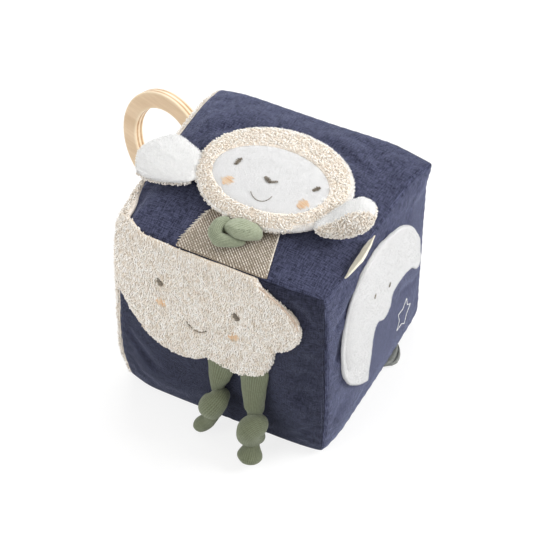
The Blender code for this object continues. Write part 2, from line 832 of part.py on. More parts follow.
def leg(name, hip, knot, leave, foot, turn, radius, strand, foot_radii):
    """A tube from the hip through its knot to the foot, flattened where it is sewn on."""
    side = Vector((1, 0, 0))
    frame = frame_matrix(knot, side, (hip - knot).cross(side))
    frame = frame @ Matrix.Rotation(radians(turn), 4, "Z")
    route = [frame @ place for place in knot_route(strand)]
    points = [hip, hip.lerp(route[0], 0.5)] + route + [leave, leave.lerp(foot, 0.5), foot]
    line = smooth_line(points, strand / 2.4)
    foot_length = (foot - leave).length + strand
    tube = Tube(line, frame, radius, strand, foot_radii, foot_length)
    print("%s: least gap between its turns %.2f mm" % (name, tube.least_gap() * 1000))
    mesh = tube.mesh(name)
    flat = hip_thickness / (2 * radius)
    for vert in mesh.vertices:
        share = min(1.0, max(0.0, (hip.z - vert.co.z) / hip_taper))
        full = share * share * (3 - 2 * share)
        centre = hip.lerp(knot, (hip.z - vert.co.z) / (hip.z - knot.z))
        vert.co.x += (vert.co.x - centre.x) * hip_spread_share * (1 - full)
        vert.co.y = centre.y + (vert.co.y - centre.y) * (flat + (1 - flat) * full)
        vert.co.z = min(hip.z, max(vert.co.z, foot_floor))
    add_part(name, mesh, GREEN)


front_crown_y = -half.y - crowns["front"]
hip_y = front_crown_y - clearance - hip_thickness / 2
hips = {}
for name, hip_x, knot_move, leave_move, foot_move, *shape in (
    ("leg_left", hip_left_x, knot_left_move, leave_left_move, foot_left_move, knot_left_turn,
     leg_left_radius, knot_left_strand, foot_left_radii),
    ("leg_right", hip_right_x, knot_right_move, leave_right_move, foot_right_move,
     knot_right_turn, leg_right_radius, knot_right_strand, foot_right_radii),
):
    hip = Vector((hip_x, hip_y, hip_height))
    hips[name] = hip
    knot = hip + Vector(knot_move)
    leave = knot + Vector(leave_move)
    leg(name, hip, knot, leave, leave + Vector(foot_move), *shape)


# Wooden ring in its loop, at the back left seam

seam_x = -half.x
seam_y = half.y
ring_line = Vector((cos(radians(ring_turn)), sin(radians(ring_turn)), 0))
ring_seam = Vector((seam_x, seam_y, ring_height))
ring_centre = ring_seam + ring_line * ring_reach


def ring_profile():
    """The section of the ring: a rectangle with rounded edges."""
    places = []
    for r, z, first in (
        (ring_radius - ring_edge, ring_thickness / 2 - ring_edge, 0),
        (ring_hole_radius + ring_edge, ring_thickness / 2 - ring_edge, 90),
        (ring_hole_radius + ring_edge, ring_edge - ring_thickness / 2, 180),
        (ring_radius - ring_edge, ring_edge - ring_thickness / 2, 270),
    ):
        for step in range(3):
            turn = radians(first + 45 * step)
            places.append((r + ring_edge * cos(turn), z + ring_edge * sin(turn)))
    return places


ring = turned("wooden_ring", ring_profile(), BEECH, (0, 0, 0), roughness=0.5, closed=True)
across = Vector((0, 0, 1)).cross(ring_line)
ring_axis = Matrix.Rotation(radians(ring_tilt), 3, ring_line) @ across
ring_frame = frame_matrix(ring_centre, ring_line, ring_axis.cross(ring_line))
ring.data.transform(ring_frame)

# The loop is a band in a level plane: its two layers meet at the seam and open round the ring.
tube_out = ring_reach - ring_radius
tube_in = ring_reach - ring_hole_radius
loop_middle = (tube_out + tube_in) / 2
loop_half_length = (tube_in - tube_out) / 2 + loop_play
loop_half_width = ring_thickness / 2 + loop_play
band_half = loop_band + clearance


def loop_outline(grow, start):
    """The loop's outline from its root at the seam round the ring, grown by the band."""
    length = loop_half_length + grow
    width = loop_half_width + grow
    neck_half = max(grow, clearance)
    right = [
        (start, min(neck_half, loop_root_half)),
        (tube_out * 0.35, neck_half),
        (loop_middle - 0.80 * length, width * 0.80),
        (loop_middle - 0.25 * length, width),
        (loop_middle + 0.45 * length, width),
        (loop_middle + 0.90 * length, width * 0.60),
    ]
    return right + [(loop_middle + length, 0)] + [(x, -y) for x, y in right[::-1]]


loop_frame = frame_matrix(ring_seam, ring_line, across)
loop_mesh = flat_outline(
    "ring_loop",
    [loop_outline(loop_band, loop_root), loop_outline(0, tube_out * 0.30)],
    loop_width,
    loop_frame,
    (0, 12),
)
add_part("ring_loop", loop_mesh, TWILL)


# Ribbons: a folded label in the top right seam and a tab in the bottom right one

def folded_ribbon(name, width, length, thickness, root, place, colour, roughness):
    """A ribbon folded back on itself, with its cut ends together at the seam."""
    half_root = ribbon + clearance / 2
    body = [
        (root, half_root),
        (root + 0.30 * length, half_root + 0.25 * (thickness / 2 - half_root)),
        (root + 0.70 * length, thickness / 2),
        (root + 0.93 * length, thickness * 0.36),
    ]
    outside = body + [(root + length, 0)] + [(x, -y) for x, y in body[::-1]]
    inner = [
        (root + 0.25 * length, clearance / 2),
        (root + 0.45 * length, thickness / 2 - 2.2 * ribbon),
        (root + 0.72 * length, thickness / 2 - ribbon),
        (root + 0.90 * length, thickness * 0.36 - ribbon),
    ]
    inside = inner + [(root + length - ribbon, 0)] + [(x, -y) for x, y in inner[::-1]]
    mesh = flat_outline(name, [outside, inside], width, place, (0, 8))
    return add_part(name, mesh, colour, roughness)


label_seam = Vector((half.x, label_start + label_width / 2, block_height))
label_line = Vector((cos(radians(label_lean)), 0, sin(radians(label_lean))))
label_frame = frame_matrix(label_seam, label_line, label_line.cross(Vector((0, 1, 0))))
folded_ribbon(
    "side_label", label_width, label_length, label_thickness, label_root, label_frame, SATIN, 0.35
)
tab_seam = Vector((half.x, tab_middle, seam_lift))
tab_frame = frame_matrix(tab_seam, Vector((1, 0, 0)), Vector((0, 0, 1)))
folded_ribbon(
    "green_tab", tab_width, tab_length, tab_thickness, tab_root, tab_frame, GREEN, 0.8
)


# Joints: each moving piece hangs on an empty that stands on its joint's axis

def pivot(name, place, *carried):
    """An empty on a joint's axis, and the pieces and pivots that move with it."""
    empty = bpy.data.objects.new(name, None)
    empty.empty_display_type = "ARROWS"
    empty.empty_display_size = ribbon
    empty.location = place
    parts.objects.link(empty)
    for piece in carried:
        obj = bpy.data.objects[piece]
        obj.parent = empty
        obj.matrix_parent_inverse = Matrix.Translation(place).inverted()


for side in ("left", "right"):
    pivot("ear_%s_pivot" % side, ear_roots[side], "ear_%s_velour" % side, "ear_%s_terry" % side)
    pivot("scarf_%s_pivot" % side, scarf_centre, "scarf_end_" + side)
    pivot("leg_%s_pivot" % side, hips["leg_" + side], "leg_" + side)
head_pieces = ("head_back", "head_front", "head_face", "head_filling")
chin = Vector((head_centre_x, head_chin_y, head_centre.z))
pivot("head_pivot", chin, "ear_left_pivot", "ear_right_pivot", *head_pieces)
pivot("ring_pivot", ring_centre, "wooden_ring")
pivot("loop_pivot", ring_seam, "ring_pivot", "ring_loop")
for i, place in enumerate(bead_places):
    name = "rattle_bead_%d" % (i + 1)
    pivot(name + "_pivot", place, name)
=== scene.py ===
import heapq
from math import cos, exp, pi, radians, sin

import bmesh
import bpy
import numpy as np
from mathutils import Matrix, Vector, noise
from mathutils.bvhtree import BVHTree


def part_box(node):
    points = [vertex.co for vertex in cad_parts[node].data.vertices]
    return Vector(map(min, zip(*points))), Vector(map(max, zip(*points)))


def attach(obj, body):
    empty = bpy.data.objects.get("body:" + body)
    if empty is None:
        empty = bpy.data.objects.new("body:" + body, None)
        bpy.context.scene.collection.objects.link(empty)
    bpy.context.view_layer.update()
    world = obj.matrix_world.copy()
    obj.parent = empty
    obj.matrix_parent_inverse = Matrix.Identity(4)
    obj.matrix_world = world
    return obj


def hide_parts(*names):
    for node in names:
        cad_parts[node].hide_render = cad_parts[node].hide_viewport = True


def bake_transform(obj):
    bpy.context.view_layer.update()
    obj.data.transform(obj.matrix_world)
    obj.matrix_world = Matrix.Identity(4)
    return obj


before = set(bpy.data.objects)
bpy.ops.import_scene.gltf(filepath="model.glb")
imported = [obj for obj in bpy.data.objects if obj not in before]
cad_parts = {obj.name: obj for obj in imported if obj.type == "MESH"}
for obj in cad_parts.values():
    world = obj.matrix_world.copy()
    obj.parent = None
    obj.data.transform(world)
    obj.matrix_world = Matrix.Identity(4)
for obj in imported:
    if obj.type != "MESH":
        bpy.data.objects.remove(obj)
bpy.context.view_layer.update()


# Studio: a pale floor, a white surround, soft lamps from behind on the right and from above,
# and a long lens that looks down at the block's front right edge.

def add_node(tree, kind, sockets=None, **settings):
    """Add a node, set its own settings, and set or link its inputs by name or number."""
    made = tree.nodes.new(kind)
    for name, value in settings.items():
        setattr(made, name, value)
    for name, value in (sockets or {}).items():
        if isinstance(value, bpy.types.NodeSocket):
            tree.links.new(value, made.inputs[name])
        else:
            made.inputs[name].default_value = value
    return made


def new_material(name):
    """An empty material's tree with its Principled shader."""
    made = bpy.data.materials.new(name)
    made.use_nodes = True
    return made, made.node_tree, made.node_tree.nodes["Principled BSDF"]


scene = bpy.context.scene
scene.view_settings.view_transform = "Standard"

floor_size = 6.0
floor_white = 0.80
seen_white = 0.24
floor_glow = 0.79
bpy.ops.mesh.primitive_plane_add(size=floor_size, location=(0, 0, -0.0002))
floor = bpy.context.object
floor.name = "floor"
paper, tree, shader = new_material("floor_paper")
shader.inputs["Base Color"].default_value = (floor_white, floor_white, floor_white, 1)
shader.inputs["Roughness"].default_value = 0.9
shader.inputs["Specular IOR Level"].default_value = 0.1
seen = add_node(tree, "ShaderNodeLightPath")
matt = add_node(tree, "ShaderNodeBsdfDiffuse", {"Color": (seen_white, seen_white, seen_white, 1)})
glow = add_node(tree, "ShaderNodeEmission", {"Color": (1, 1, 1, 1), "Strength": floor_glow})
lit = add_node(tree, "ShaderNodeAddShader", {0: matt.outputs[0], 1: glow.outputs[0]})
both = add_node(
    tree, "ShaderNodeMixShader",
    {0: seen.outputs["Is Camera Ray"], 1: shader.outputs[0], 2: lit.outputs[0]},
)
tree.links.new(both.outputs[0], tree.nodes["Material Output"].inputs["Surface"])
floor.data.materials.append(paper)

world = bpy.data.worlds.new("white_room")
world.use_nodes = True
scene.world = world
tree = world.node_tree
room_light = 0.50
soft = tree.nodes["Background"]
soft.inputs["Color"].default_value = (1.0, 0.995, 0.99, 1)
soft.inputs["Strength"].default_value = room_light
clear = add_node(tree, "ShaderNodeBackground", {"Color": (1, 1, 1, 1), "Strength": 1.0})
path = add_node(tree, "ShaderNodeLightPath")
plain = path.outputs["Is Camera Ray"]
for ray in ("Is Transmission Ray", "Is Glossy Ray"):
    plain = add_node(tree, "ShaderNodeMath", {0: plain, 1: path.outputs[ray]}, operation="MAXIMUM").outputs[0]
both = add_node(tree, "ShaderNodeMixShader", {0: plain, 1: soft.outputs[0], 2: clear.outputs[0]})
tree.links.new(both.outputs[0], tree.nodes["World Output"].inputs["Surface"])

lamps = {
    "window_light": ((1.05, 0.45, 0.85), 0.7, 15.0),
    "back_light": ((-0.55, 1.00, 0.90), 1.0, 11.5),
    "front_fill": ((-0.60, -1.20, 0.70), 1.0, 9.0),
}
for name, (place, size, power) in lamps.items():
    lamp = bpy.data.lights.new(name, "AREA")
    lamp.shape = "DISK"
    lamp.size = size
    lamp.energy = power
    holder = bpy.data.objects.new(name, lamp)
    holder.location = place
    holder.rotation_euler = (Vector((0, 0, 0.07)) - Vector(place)).to_track_quat("-Z", "Y").to_euler()
    scene.collection.objects.link(holder)

camera_azimuth = radians(27.13)
camera_elevation = radians(47.0)
camera_target = Vector((0.00286, -0.00052, 0.06331))
camera_distance = 2.0176
lens = bpy.data.cameras.new("photo_camera")
lens.sensor_width = 36.0
lens.lens = 229.7
lens.clip_start = 0.05
lens.clip_end = 20.0
camera = bpy.data.objects.new("photo_camera", lens)
camera_back = Vector((
    sin(camera_azimuth) * cos(camera_elevation),
    -cos(camera_azimuth) * cos(camera_elevation),
    sin(camera_elevation),
))
camera.location = camera_target + camera_back * camera_distance
camera.rotation_euler = (-camera_back).to_track_quat("-Z", "Y").to_euler()
scene.collection.objects.link(camera)
scene.camera = camera


# Filling: two slabs of open foam with a hollow for the rattle, and loose wadding in the head.
# None of it shows, but each piece has its own finish.

def dress(node, finish):
    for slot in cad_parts[node].material_slots:
        slot.material = finish


def crumb(name, dark, light, size, roughness, sharp=True):
    """A body of small cells or wisps: foam, wadding, or the grain of moulded plastic."""
    made, tree, shader = new_material(name)
    spot = add_node(tree, "ShaderNodeTexCoord")
    if sharp:
        cells = add_node(tree, "ShaderNodeTexVoronoi", {"Vector": spot.outputs["Object"], "Scale": 1 / size})
        grain = cells.outputs["Distance"]
    else:
        wisps = add_node(
            tree, "ShaderNodeTexNoise",
            {"Vector": spot.outputs["Object"], "Scale": 0.5 / size, "Detail": 5, "Distortion": 1.5},
        )
        grain = wisps.outputs["Fac"]
    colour = add_node(tree, "ShaderNodeMix", {"Factor": grain, "A": dark, "B": light}, data_type="RGBA")
    tree.links.new(colour.outputs["Result"], shader.inputs["Base Color"])
    bump = add_node(tree, "ShaderNodeBump", {"Height": grain, "Strength": 0.5, "Distance": size / 2})
    tree.links.new(bump.outputs[0], shader.inputs["Normal"])
    shader.inputs["Roughness"].default_value = roughness
    return made


foam = crumb("cut_foam", (0.62, 0.55, 0.38, 1), (0.90, 0.85, 0.70, 1), 0.0007, 0.95)
wadding = crumb("loose_wadding", (0.74, 0.74, 0.73, 1), (0.95, 0.95, 0.94, 1), 0.0040, 1.0, sharp=False)
shell = crumb("rattle_shell", (0.82, 0.82, 0.80, 1), (0.88, 0.88, 0.86, 1), 0.0015, 0.35, sharp=False)
bead = crumb("rattle_bead", (0.70, 0.10, 0.06, 1), (0.80, 0.14, 0.08, 1), 0.0015, 0.25, sharp=False)
for node, finish in (
    ("foam_core_lower", foam), ("foam_core_upper", foam), ("head_filling", wadding),
    ("rattle_case_lower", shell), ("rattle_case_upper", shell),
    ("rattle_bead_1", bead), ("rattle_bead_2", bead), ("rattle_bead_3", bead),
):
    dress(node, finish)


# Covers: four faces, the back and the base of the block. Navy cotton gauze over thin wadding, and
# cream terry on the left. Each navy panel's colour is scaled by a factor of its own: painted shade,
# lighter on the top and right, darker in front. Each panel is sewn to its neighbours inside out, so
# that its edges roll into seams.

def add_object(name, mesh, *materials):
    obj = bpy.data.objects.new(name, mesh)
    mesh.materials.clear()
    for item in materials:
        mesh.materials.append(item)
    scene.collection.objects.link(obj)
    return obj


def settle(obj):
    """Turn an object and its modifiers into a plain smooth mesh."""
    depsgraph = bpy.context.evaluated_depsgraph_get()
    mesh = bpy.data.meshes.new_from_object(obj.evaluated_get(depsgraph))
    obj.modifiers.clear()
    obj.data = mesh
    mesh.shade_smooth()
    return obj


def subdivide(obj, levels):
    modifier = obj.modifiers.new("rounded", "SUBSURF")
    modifier.levels = levels
    modifier.render_levels = levels
    return settle(obj)


def cloth_copy(name, node, *materials, levels=2):
    """A node's solid as a rounded piece: merged, back to four-sided faces, and subdivided."""
    bm = bmesh.new()
    bm.from_mesh(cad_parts[node].data)
    bmesh.ops.remove_doubles(bm, verts=bm.verts, dist=0.00001)
    bmesh.ops.join_triangles(
        bm, faces=bm.faces, angle_face_threshold=radians(35), angle_shape_threshold=radians(70)
    )
    mesh = bpy.data.meshes.new(name)
    bm.to_mesh(mesh)
    bm.free()
    return subdivide(add_object(name, mesh, *materials), levels)


def places(obj):
    flat = np.empty(len(obj.data.vertices) * 3, np.float32)
    obj.data.vertices.foreach_get("co", flat)
    return flat.reshape(-1, 3).astype(float)


def normals(obj):
    flat = np.empty(len(obj.data.vertices) * 3, np.float32)
    obj.data.vertex_normals.foreach_get("vector", flat)
    return flat.reshape(-1, 3).astype(float)


def put(obj, points):
    obj.data.vertices.foreach_set("co", points.astype(np.float32).ravel())
    obj.data.update()


def skin_of(*objs):
    """What a needle or a ray meets: the surface of one or more pieces."""
    points, faces = [], []
    for obj in objs:
        faces += [tuple(i + len(points) for i in face.vertices) for face in obj.data.polygons]
        points += [vert.co.copy() for vert in obj.data.vertices]
    return BVHTree.FromPolygons(points, faces)


def ripple(points, size, seed=0):
    """Smooth noise from -1 to 1 at each point, with lumps of about the given size."""
    shift = Vector((seed * 7.3, seed * 3.1, seed * 5.7))
    return np.array([noise.noise(Vector(p) / size + shift) for p in points])


def eased(value):
    """From 0 to 1 with a soft start and a soft end."""
    value = np.clip(value, 0, 1)
    return value * value * (3 - 2 * value)


def lay_weave(obj, along, up):
    """A UV map in metres, so that a weave's threads run along a flat face's two directions."""
    layer = obj.data.uv_layers.new(name="weave")
    points = places(obj)
    corners = np.empty(len(obj.data.loops), np.int32)
    obj.data.loops.foreach_get("vertex_index", corners)
    flat = np.stack([points @ np.array(along), points @ np.array(up)], 1)[corners]
    layer.data.foreach_set("uv", flat.astype(np.float32).ravel())


def let_settle(obj, held, push, ease, most, frames=20):
    """Let a padded cloth find its shape: cut a little large, held where told, pushed out by its filling."""
    start = places(obj)
    group = obj.vertex_groups.new(name="held")
    for index, weight in enumerate(held):
        group.add([index], float(weight), "REPLACE")
    cloth = obj.modifiers.new("cloth", "CLOTH")
    cloth.collision_settings.use_collision = False
    cloth.settings.quality = 6
    cloth.settings.mass = 0.05
    cloth.settings.vertex_group_mass = "held"
    cloth.settings.tension_stiffness = 15
    cloth.settings.compression_stiffness = 15
    cloth.settings.bending_stiffness = 0.5
    cloth.settings.shrink_min = -ease
    cloth.settings.use_pressure = True
    cloth.settings.uniform_pressure_force = push
    cloth.settings.effector_weights.gravity = 0
    for step in range(1, frames + 1):
        scene.frame_set(step)
    depsgraph = bpy.context.evaluated_depsgraph_get()
    settled = np.array([vert.co for vert in obj.evaluated_get(depsgraph).data.vertices])
    obj.modifiers.clear()
    obj.vertex_groups.clear()
    scene.frame_set(1)
    move = settled - start
    far = np.linalg.norm(move, axis=1)
    move *= np.minimum(1, most / np.maximum(far, 1e-9))[:, None]
    put(obj, start + move)


def gauze(name, dark, light, thread=0.00062):
    """Cotton gauze: a plain weave with slubs both ways, faded in soft patches."""
    made, tree, shader = new_material(name)
    map_ = add_node(tree, "ShaderNodeUVMap", uv_map="weave")
    long_ways = []
    for stretch in ((1, 6, 1), (6, 1, 1)):
        fit = add_node(tree, "ShaderNodeMapping", {"Vector": map_.outputs[0], "Scale": stretch})
        slub = add_node(
            tree, "ShaderNodeTexNoise",
            {"Vector": fit.outputs[0], "Scale": 230, "Detail": 3, "Roughness": 0.65},
        )
        long_ways.append(slub.outputs["Fac"])
    slubs = add_node(tree, "ShaderNodeMath", {0: long_ways[0], 1: long_ways[1]}, operation="ADD")
    waves = []
    for direction in ("X", "Y"):
        wave = add_node(
            tree, "ShaderNodeTexWave",
            {"Vector": map_.outputs[0], "Scale": 0.314 / thread, "Distortion": 1.5, "Detail": 1,
             "Detail Scale": 1.5},
            bands_direction=direction,
        )
        waves.append(wave.outputs["Fac"])
    weave = add_node(tree, "ShaderNodeMath", {0: waves[0], 1: waves[1]}, operation="MULTIPLY")
    patches = add_node(tree, "ShaderNodeTexNoise", {"Vector": map_.outputs[0], "Scale": 45, "Detail": 3})
    tone = add_node(
        tree, "ShaderNodeMath", {0: patches.outputs["Fac"], 1: 0.14, 2: slubs.outputs[0]},
        operation="MULTIPLY_ADD",
    )
    tone = add_node(
        tree, "ShaderNodeMath", {0: weave.outputs[0], 1: 0.30, 2: tone.outputs[0]}, operation="MULTIPLY_ADD"
    )
    ramp = add_node(
        tree, "ShaderNodeMapRange", {"Value": tone.outputs[0], "From Min": 0.90, "From Max": 1.42}
    )
    colour = add_node(
        tree, "ShaderNodeMix", {"Factor": ramp.outputs[0], "A": dark, "B": light}, data_type="RGBA"
    )
    tree.links.new(colour.outputs["Result"], shader.inputs["Base Color"])
    height = add_node(tree, "ShaderNodeMath", {0: weave.outputs[0], 1: slubs.outputs[0]}, operation="ADD")
    bump = add_node(
        tree, "ShaderNodeBump", {"Height": height.outputs[0], "Strength": 0.6, "Distance": 0.00035}
    )
    tree.links.new(bump.outputs[0], shader.inputs["Normal"])
    shader.inputs["Roughness"].default_value = 0.92
    shader.inputs["Specular IOR Level"].default_value = 0.15
    shader.inputs["Sheen Weight"].default_value = 0.60
    shader.inputs["Sheen Roughness"].default_value = 0.28
    shader.inputs["Sheen Tint"].default_value = (0.60, 0.66, 0.92, 1)
    return made


def pile_base(name, dark, light, size=0.0006):
    """The knitted ground under a pile: blotchy thread colours with a pebbled surface."""
    made, tree, shader = new_material(name)
    spot = add_node(tree, "ShaderNodeTexCoord")
    curl = add_node(
        tree, "ShaderNodeTexNoise",
        {"Vector": spot.outputs["Object"], "Scale": 0.6 / size, "Detail": 3, "Roughness": 0.65},
    )
    grain = add_node(tree, "ShaderNodeTexVoronoi", {"Vector": spot.outputs["Object"], "Scale": 1 / size})
    ramp = add_node(
        tree, "ShaderNodeMapRange", {"Value": curl.outputs["Fac"], "From Min": 0.35, "From Max": 0.65}
    )
    colour = add_node(
        tree, "ShaderNodeMix", {"Factor": ramp.outputs[0], "A": dark, "B": light}, data_type="RGBA"
    )
    tree.links.new(colour.outputs["Result"], shader.inputs["Base Color"])
    bump = add_node(
        tree, "ShaderNodeBump", {"Height": grain.outputs["Distance"], "Strength": 0.6, "Distance": size / 2},
        invert=True,
    )
    tree.links.new(bump.outputs[0], shader.inputs["Normal"])
    shader.inputs["Roughness"].default_value = 0.95
    shader.inputs["Specular IOR Level"].default_value = 0.1
    shader.inputs["Sheen Weight"].default_value = 0.3
    return made


def yarn(name, dark, light, roughness=0.85, sheen=0.3):
    """Thread: each stitch, loop or hair takes its own shade between two colours."""
    made, tree, shader = new_material(name)
    shade = add_node(tree, "ShaderNodeAttribute", attribute_name="shade")
    colour = add_node(
        tree, "ShaderNodeMix", {"Factor": shade.outputs["Fac"], "A": dark, "B": light}, data_type="RGBA"
    )
    tree.links.new(colour.outputs["Result"], shader.inputs["Base Color"])
    spot = add_node(tree, "ShaderNodeTexCoord")
    twist = add_node(
        tree, "ShaderNodeTexNoise", {"Vector": spot.outputs["Object"], "Scale": 6000, "Detail": 2}
    )
    bump = add_node(
        tree, "ShaderNodeBump", {"Height": twist.outputs["Fac"], "Strength": 0.4, "Distance": 0.0001}
    )
    tree.links.new(bump.outputs[0], shader.inputs["Normal"])
    shader.inputs["Roughness"].default_value = roughness
    shader.inputs["Specular IOR Level"].default_value = 0.2
    shader.inputs["Sheen Weight"].default_value = sheen
    return made


navy_dark = Vector((0.008, 0.009, 0.020))
navy_light = Vector((0.084, 0.091, 0.158))
# painted shade: each navy panel's colours are scaled by its face's factor, lighter on the top and right, darker in
# front and below
painted_face_shades = {"top": 1.22, "front": 0.60, "right": 1.44, "back": 1.0, "bottom": 0.9}
terry_ground = pile_base("terry_ground", (0.80, 0.70, 0.59, 1), (0.95, 0.88, 0.79, 1))
terry_yarn = yarn("terry_yarn", (0.80, 0.70, 0.58, 1), (1.0, 0.975, 0.93, 1))

FACES = {
    "top": ((0, 0, 1), (1, 0, 0), (0, 1, 0)),
    "front": ((0, -1, 0), (1, 0, 0), (0, 0, 1)),
    "right": ((1, 0, 0), (0, 1, 0), (0, 0, 1)),
    "left": ((-1, 0, 0), (0, -1, 0), (0, 0, 1)),
    "back": ((0, 1, 0), (-1, 0, 0), (0, 0, 1)),
    "bottom": ((0, 0, -1), (1, 0, 0), (0, -1, 0)),
}
pucker_depth = 0.00022
pucker_reach = 0.007
pucker_pitch = 0.0070
slack_depth = 0.0006
seam_turn = 0.0017         # how far the cloth rolls in at a seam
seam_radius = 0.0020
seam_press = 0.0008        # how far a cover swells over its neighbour
crease_depth = 0.0015
crease_width = 0.0030
creases = {
    "top": (((-0.050, 0.020), (-0.030, 0.034)), ((0.010, 0.044), (0.048, 0.030))),
    "front": (((-0.060, 0.050), (-0.038, 0.024)), ((0.050, 0.040), (0.058, 0.085))),
    "right": (
        ((-0.056, 0.100), (-0.036, 0.116)),
        ((-0.055, 0.074), (-0.044, 0.092)),
        ((0.020, 0.062), (0.050, 0.044)),
    ),
    "back": (((-0.050, 0.050), (-0.020, 0.030)),),
}
covers_low = np.array([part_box(face + "_panel")[0] for face in FACES]).min(axis=0)
covers_high = np.array([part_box(face + "_panel")[1] for face in FACES]).max(axis=0)
corner_reach = 0.42        # how much of each half side a corner's own shape takes in
corner_moves = {
    (1, 1, 1): (0.0044, -0.0006, -0.0056),
    (-1, 1, 1): (0.0010, -0.0010, -0.0016),
    (-1, -1, 1): (-0.0022, 0.0062, 0.0),
    (1, -1, 1): (-0.0004, 0.0006, -0.0006),
    (-1, -1, -1): (0.0045, 0.0010, 0.0040),
    (1, -1, -1): (-0.0006, -0.0008, 0.0010),
    (1, 1, -1): (0.0016, -0.0004, 0.0026),
    (-1, 1, -1): (0.0030, -0.0030, 0.0030),
}


bow_reach = 0.50           # the top front edge bows out and sags between its corners
front_bow = (0.0, -0.0026, -0.0010)
back_bow = (0.0, 0.0, -0.0010)
wrap_over = (0.0042, 0.0, 0.0023)     # the terry side is turned over the top by its front corner
wrap_round = (0.0034, -0.0014, 0.0)
tucked_under = (0.0012, 0.0, -0.0024)


def tuck(points):
    """Draw the block's corners and edges as the filling leaves them, with whatever lies on them."""
    local = (points - (covers_low + covers_high) / 2) / ((covers_high - covers_low) / 2)
    forward = eased((-local[:, 1] - 1 + bow_reach) / bow_reach)
    upward = eased((local[:, 2] - 1 + bow_reach) / bow_reach)
    backward = eased((local[:, 1] - 1 + bow_reach) / bow_reach)
    slack = upward * (1 - np.clip(np.abs(local[:, 0]), 0, 1) ** 3)
    moved = points + (forward * slack)[:, None] * np.array(front_bow)
    moved += (backward * slack)[:, None] * np.array(back_bow)
    for signs, move in corner_moves.items():
        near = eased((local * np.array(signs) - 1 + corner_reach) / corner_reach)
        moved += near.prod(axis=1)[:, None] * np.array(move)
    return moved


covers = {}
skins = {}
for seed, (face, (normal, along, up)) in enumerate(FACES.items()):
    if face == "left":
        cloth = terry_ground
    else:
        shade = painted_face_shades[face]
        # painted shade: this panel's navy is scaled lighter or darker by its face's factor
        cloth = gauze("navy_" + face, (*navy_dark * shade, 1), (*navy_light * shade, 1))
    cover = cloth_copy("cover_" + face, face + "_panel", cloth, levels=2)
    low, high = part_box(face + "_panel")
    points = places(cover)
    spans = []
    for axis in (along, up):
        value = points @ np.array(axis)
        ends = sorted((low.dot(Vector(axis)), high.dot(Vector(axis))))
        ends = [ends[0] - seam_press, ends[1] + seam_press]
        stretch = (ends[1] - ends[0]) / (value.max() - value.min())
        shift = (ends[0] + ends[1]) / 2 - (value.max() + value.min()) / 2
        middle = (value.max() + value.min()) / 2
        points += np.array(axis) * ((value - middle) * (stretch - 1) + shift)[:, None]
        spans.append(ends)
    put(cover, points)
    facing = normals(cover) @ np.array(normal)
    a, b = (points @ np.array(axis) for axis in (along, up))
    to_seam = np.minimum(
        np.minimum(a - spans[0][0], spans[0][1] - a), np.minimum(b - spans[1][0], spans[1][1] - b)
    )
    held = 1 - eased((to_seam - 0.002) / 0.010) * (facing > 0.3)
    if face != "bottom":
        let_settle(cover, held, push=0.6, ease=0.015, most=0.0012)
    subdivide(cover, 1)
    points = places(cover)
    outward = normals(cover)
    a, b = (points @ np.array(axis) for axis in (along, up))
    facing = np.clip(outward @ np.array(normal) * 2 - 0.6, 0, 1)
    depth = slack_depth * ripple(points, 0.030, seed)
    to_seam = np.minimum(
        np.minimum(a - spans[0][0], spans[0][1] - a), np.minimum(b - spans[1][0], spans[1][1] - b)
    )
    depth -= seam_turn * np.clip(1 - to_seam / seam_radius, 0, 1) ** 2
    for start, end in creases.get(face, ()):
        start, end = np.array(start), np.array(end)
        run = end - start
        share = np.clip(((a - start[0]) * run[0] + (b - start[1]) * run[1]) / (run @ run), 0, 1)
        off = np.hypot(a - start[0] - share * run[0], b - start[1] - share * run[1])
        depth -= crease_depth * np.exp(-(off / crease_width) ** 2) * (1 - (2 * share - 1) ** 4)
    for run, across, (first, last) in ((a, b, spans[1]), (b, a, spans[0])):
        drift = ripple(points, 0.020, seed + 10) * 2.2
        folds = np.sin(run * 2 * pi / pucker_pitch + drift) * pucker_depth
        depth += folds * np.exp(-np.minimum(across - first, last - across) / pucker_reach)
    if face == "bottom":
        facing *= 0
    points += np.array(normal) * (depth * facing)[:, None]
    if face == "top":
        under = eased((spans[0][0] + 0.010 - points[:, 0]) / 0.006)
        under *= eased((-0.024 - points[:, 1]) / 0.022)
        points += under[:, None] * np.array(tucked_under)
    if face == "left":
        turned = eased((points[:, 0] - covers_low[0] - 0.0005) / 0.004)
        high_up = eased((points[:, 2] - spans[1][1] + 0.008) / 0.008)
        to_front = eased((-0.030 - points[:, 1]) / 0.025)
        at_front = eased((spans[0][1] - 0.006 - a) / -0.006)
        points += (turned * high_up * to_front)[:, None] * np.array(wrap_over)
        raised = eased((points[:, 2] - 0.050) / 0.060)
        points += (turned * at_front * raised)[:, None] * np.array(wrap_round)
    put(cover, tuck(points))
    lay_weave(cover, along, up)
    covers[face] = cover
    skins[face] = skin_of(cover)
    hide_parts(face + "_panel")


# Pile: every loop or hair of terry, velour and fleece is one small closed shape, set out at random
# but evenly on the cloth by one tree of Geometry Nodes, and leaning in locks the way it is brushed.

def new_tree(name, inputs):
    """A Geometry Nodes tree with named inputs: (name, kind, value) each."""
    tree = bpy.data.node_groups.new(name, "GeometryNodeTree")
    tree.interface.new_socket("Geometry", in_out="INPUT", socket_type="NodeSocketGeometry")
    for label, kind, value in inputs:
        socket = tree.interface.new_socket(label, in_out="INPUT", socket_type="NodeSocket" + kind)
        if value is not None:
            socket.default_value = value
    tree.interface.new_socket("Geometry", in_out="OUTPUT", socket_type="NodeSocketGeometry")
    return tree, add_node(tree, "NodeGroupInput"), add_node(tree, "NodeGroupOutput")


def grow(obj, tree, **values):
    """Run a tree on an object, with its inputs set by their identifiers, and settle the result."""
    modifier = obj.modifiers.new(tree.name, "NODES")
    modifier.node_group = tree
    for item in tree.interface.items_tree:
        if item.in_out == "INPUT" and item.name.lower() in values:
            modifier[item.identifier] = values[item.name.lower()]
    obj.update_tag()
    return settle(obj)


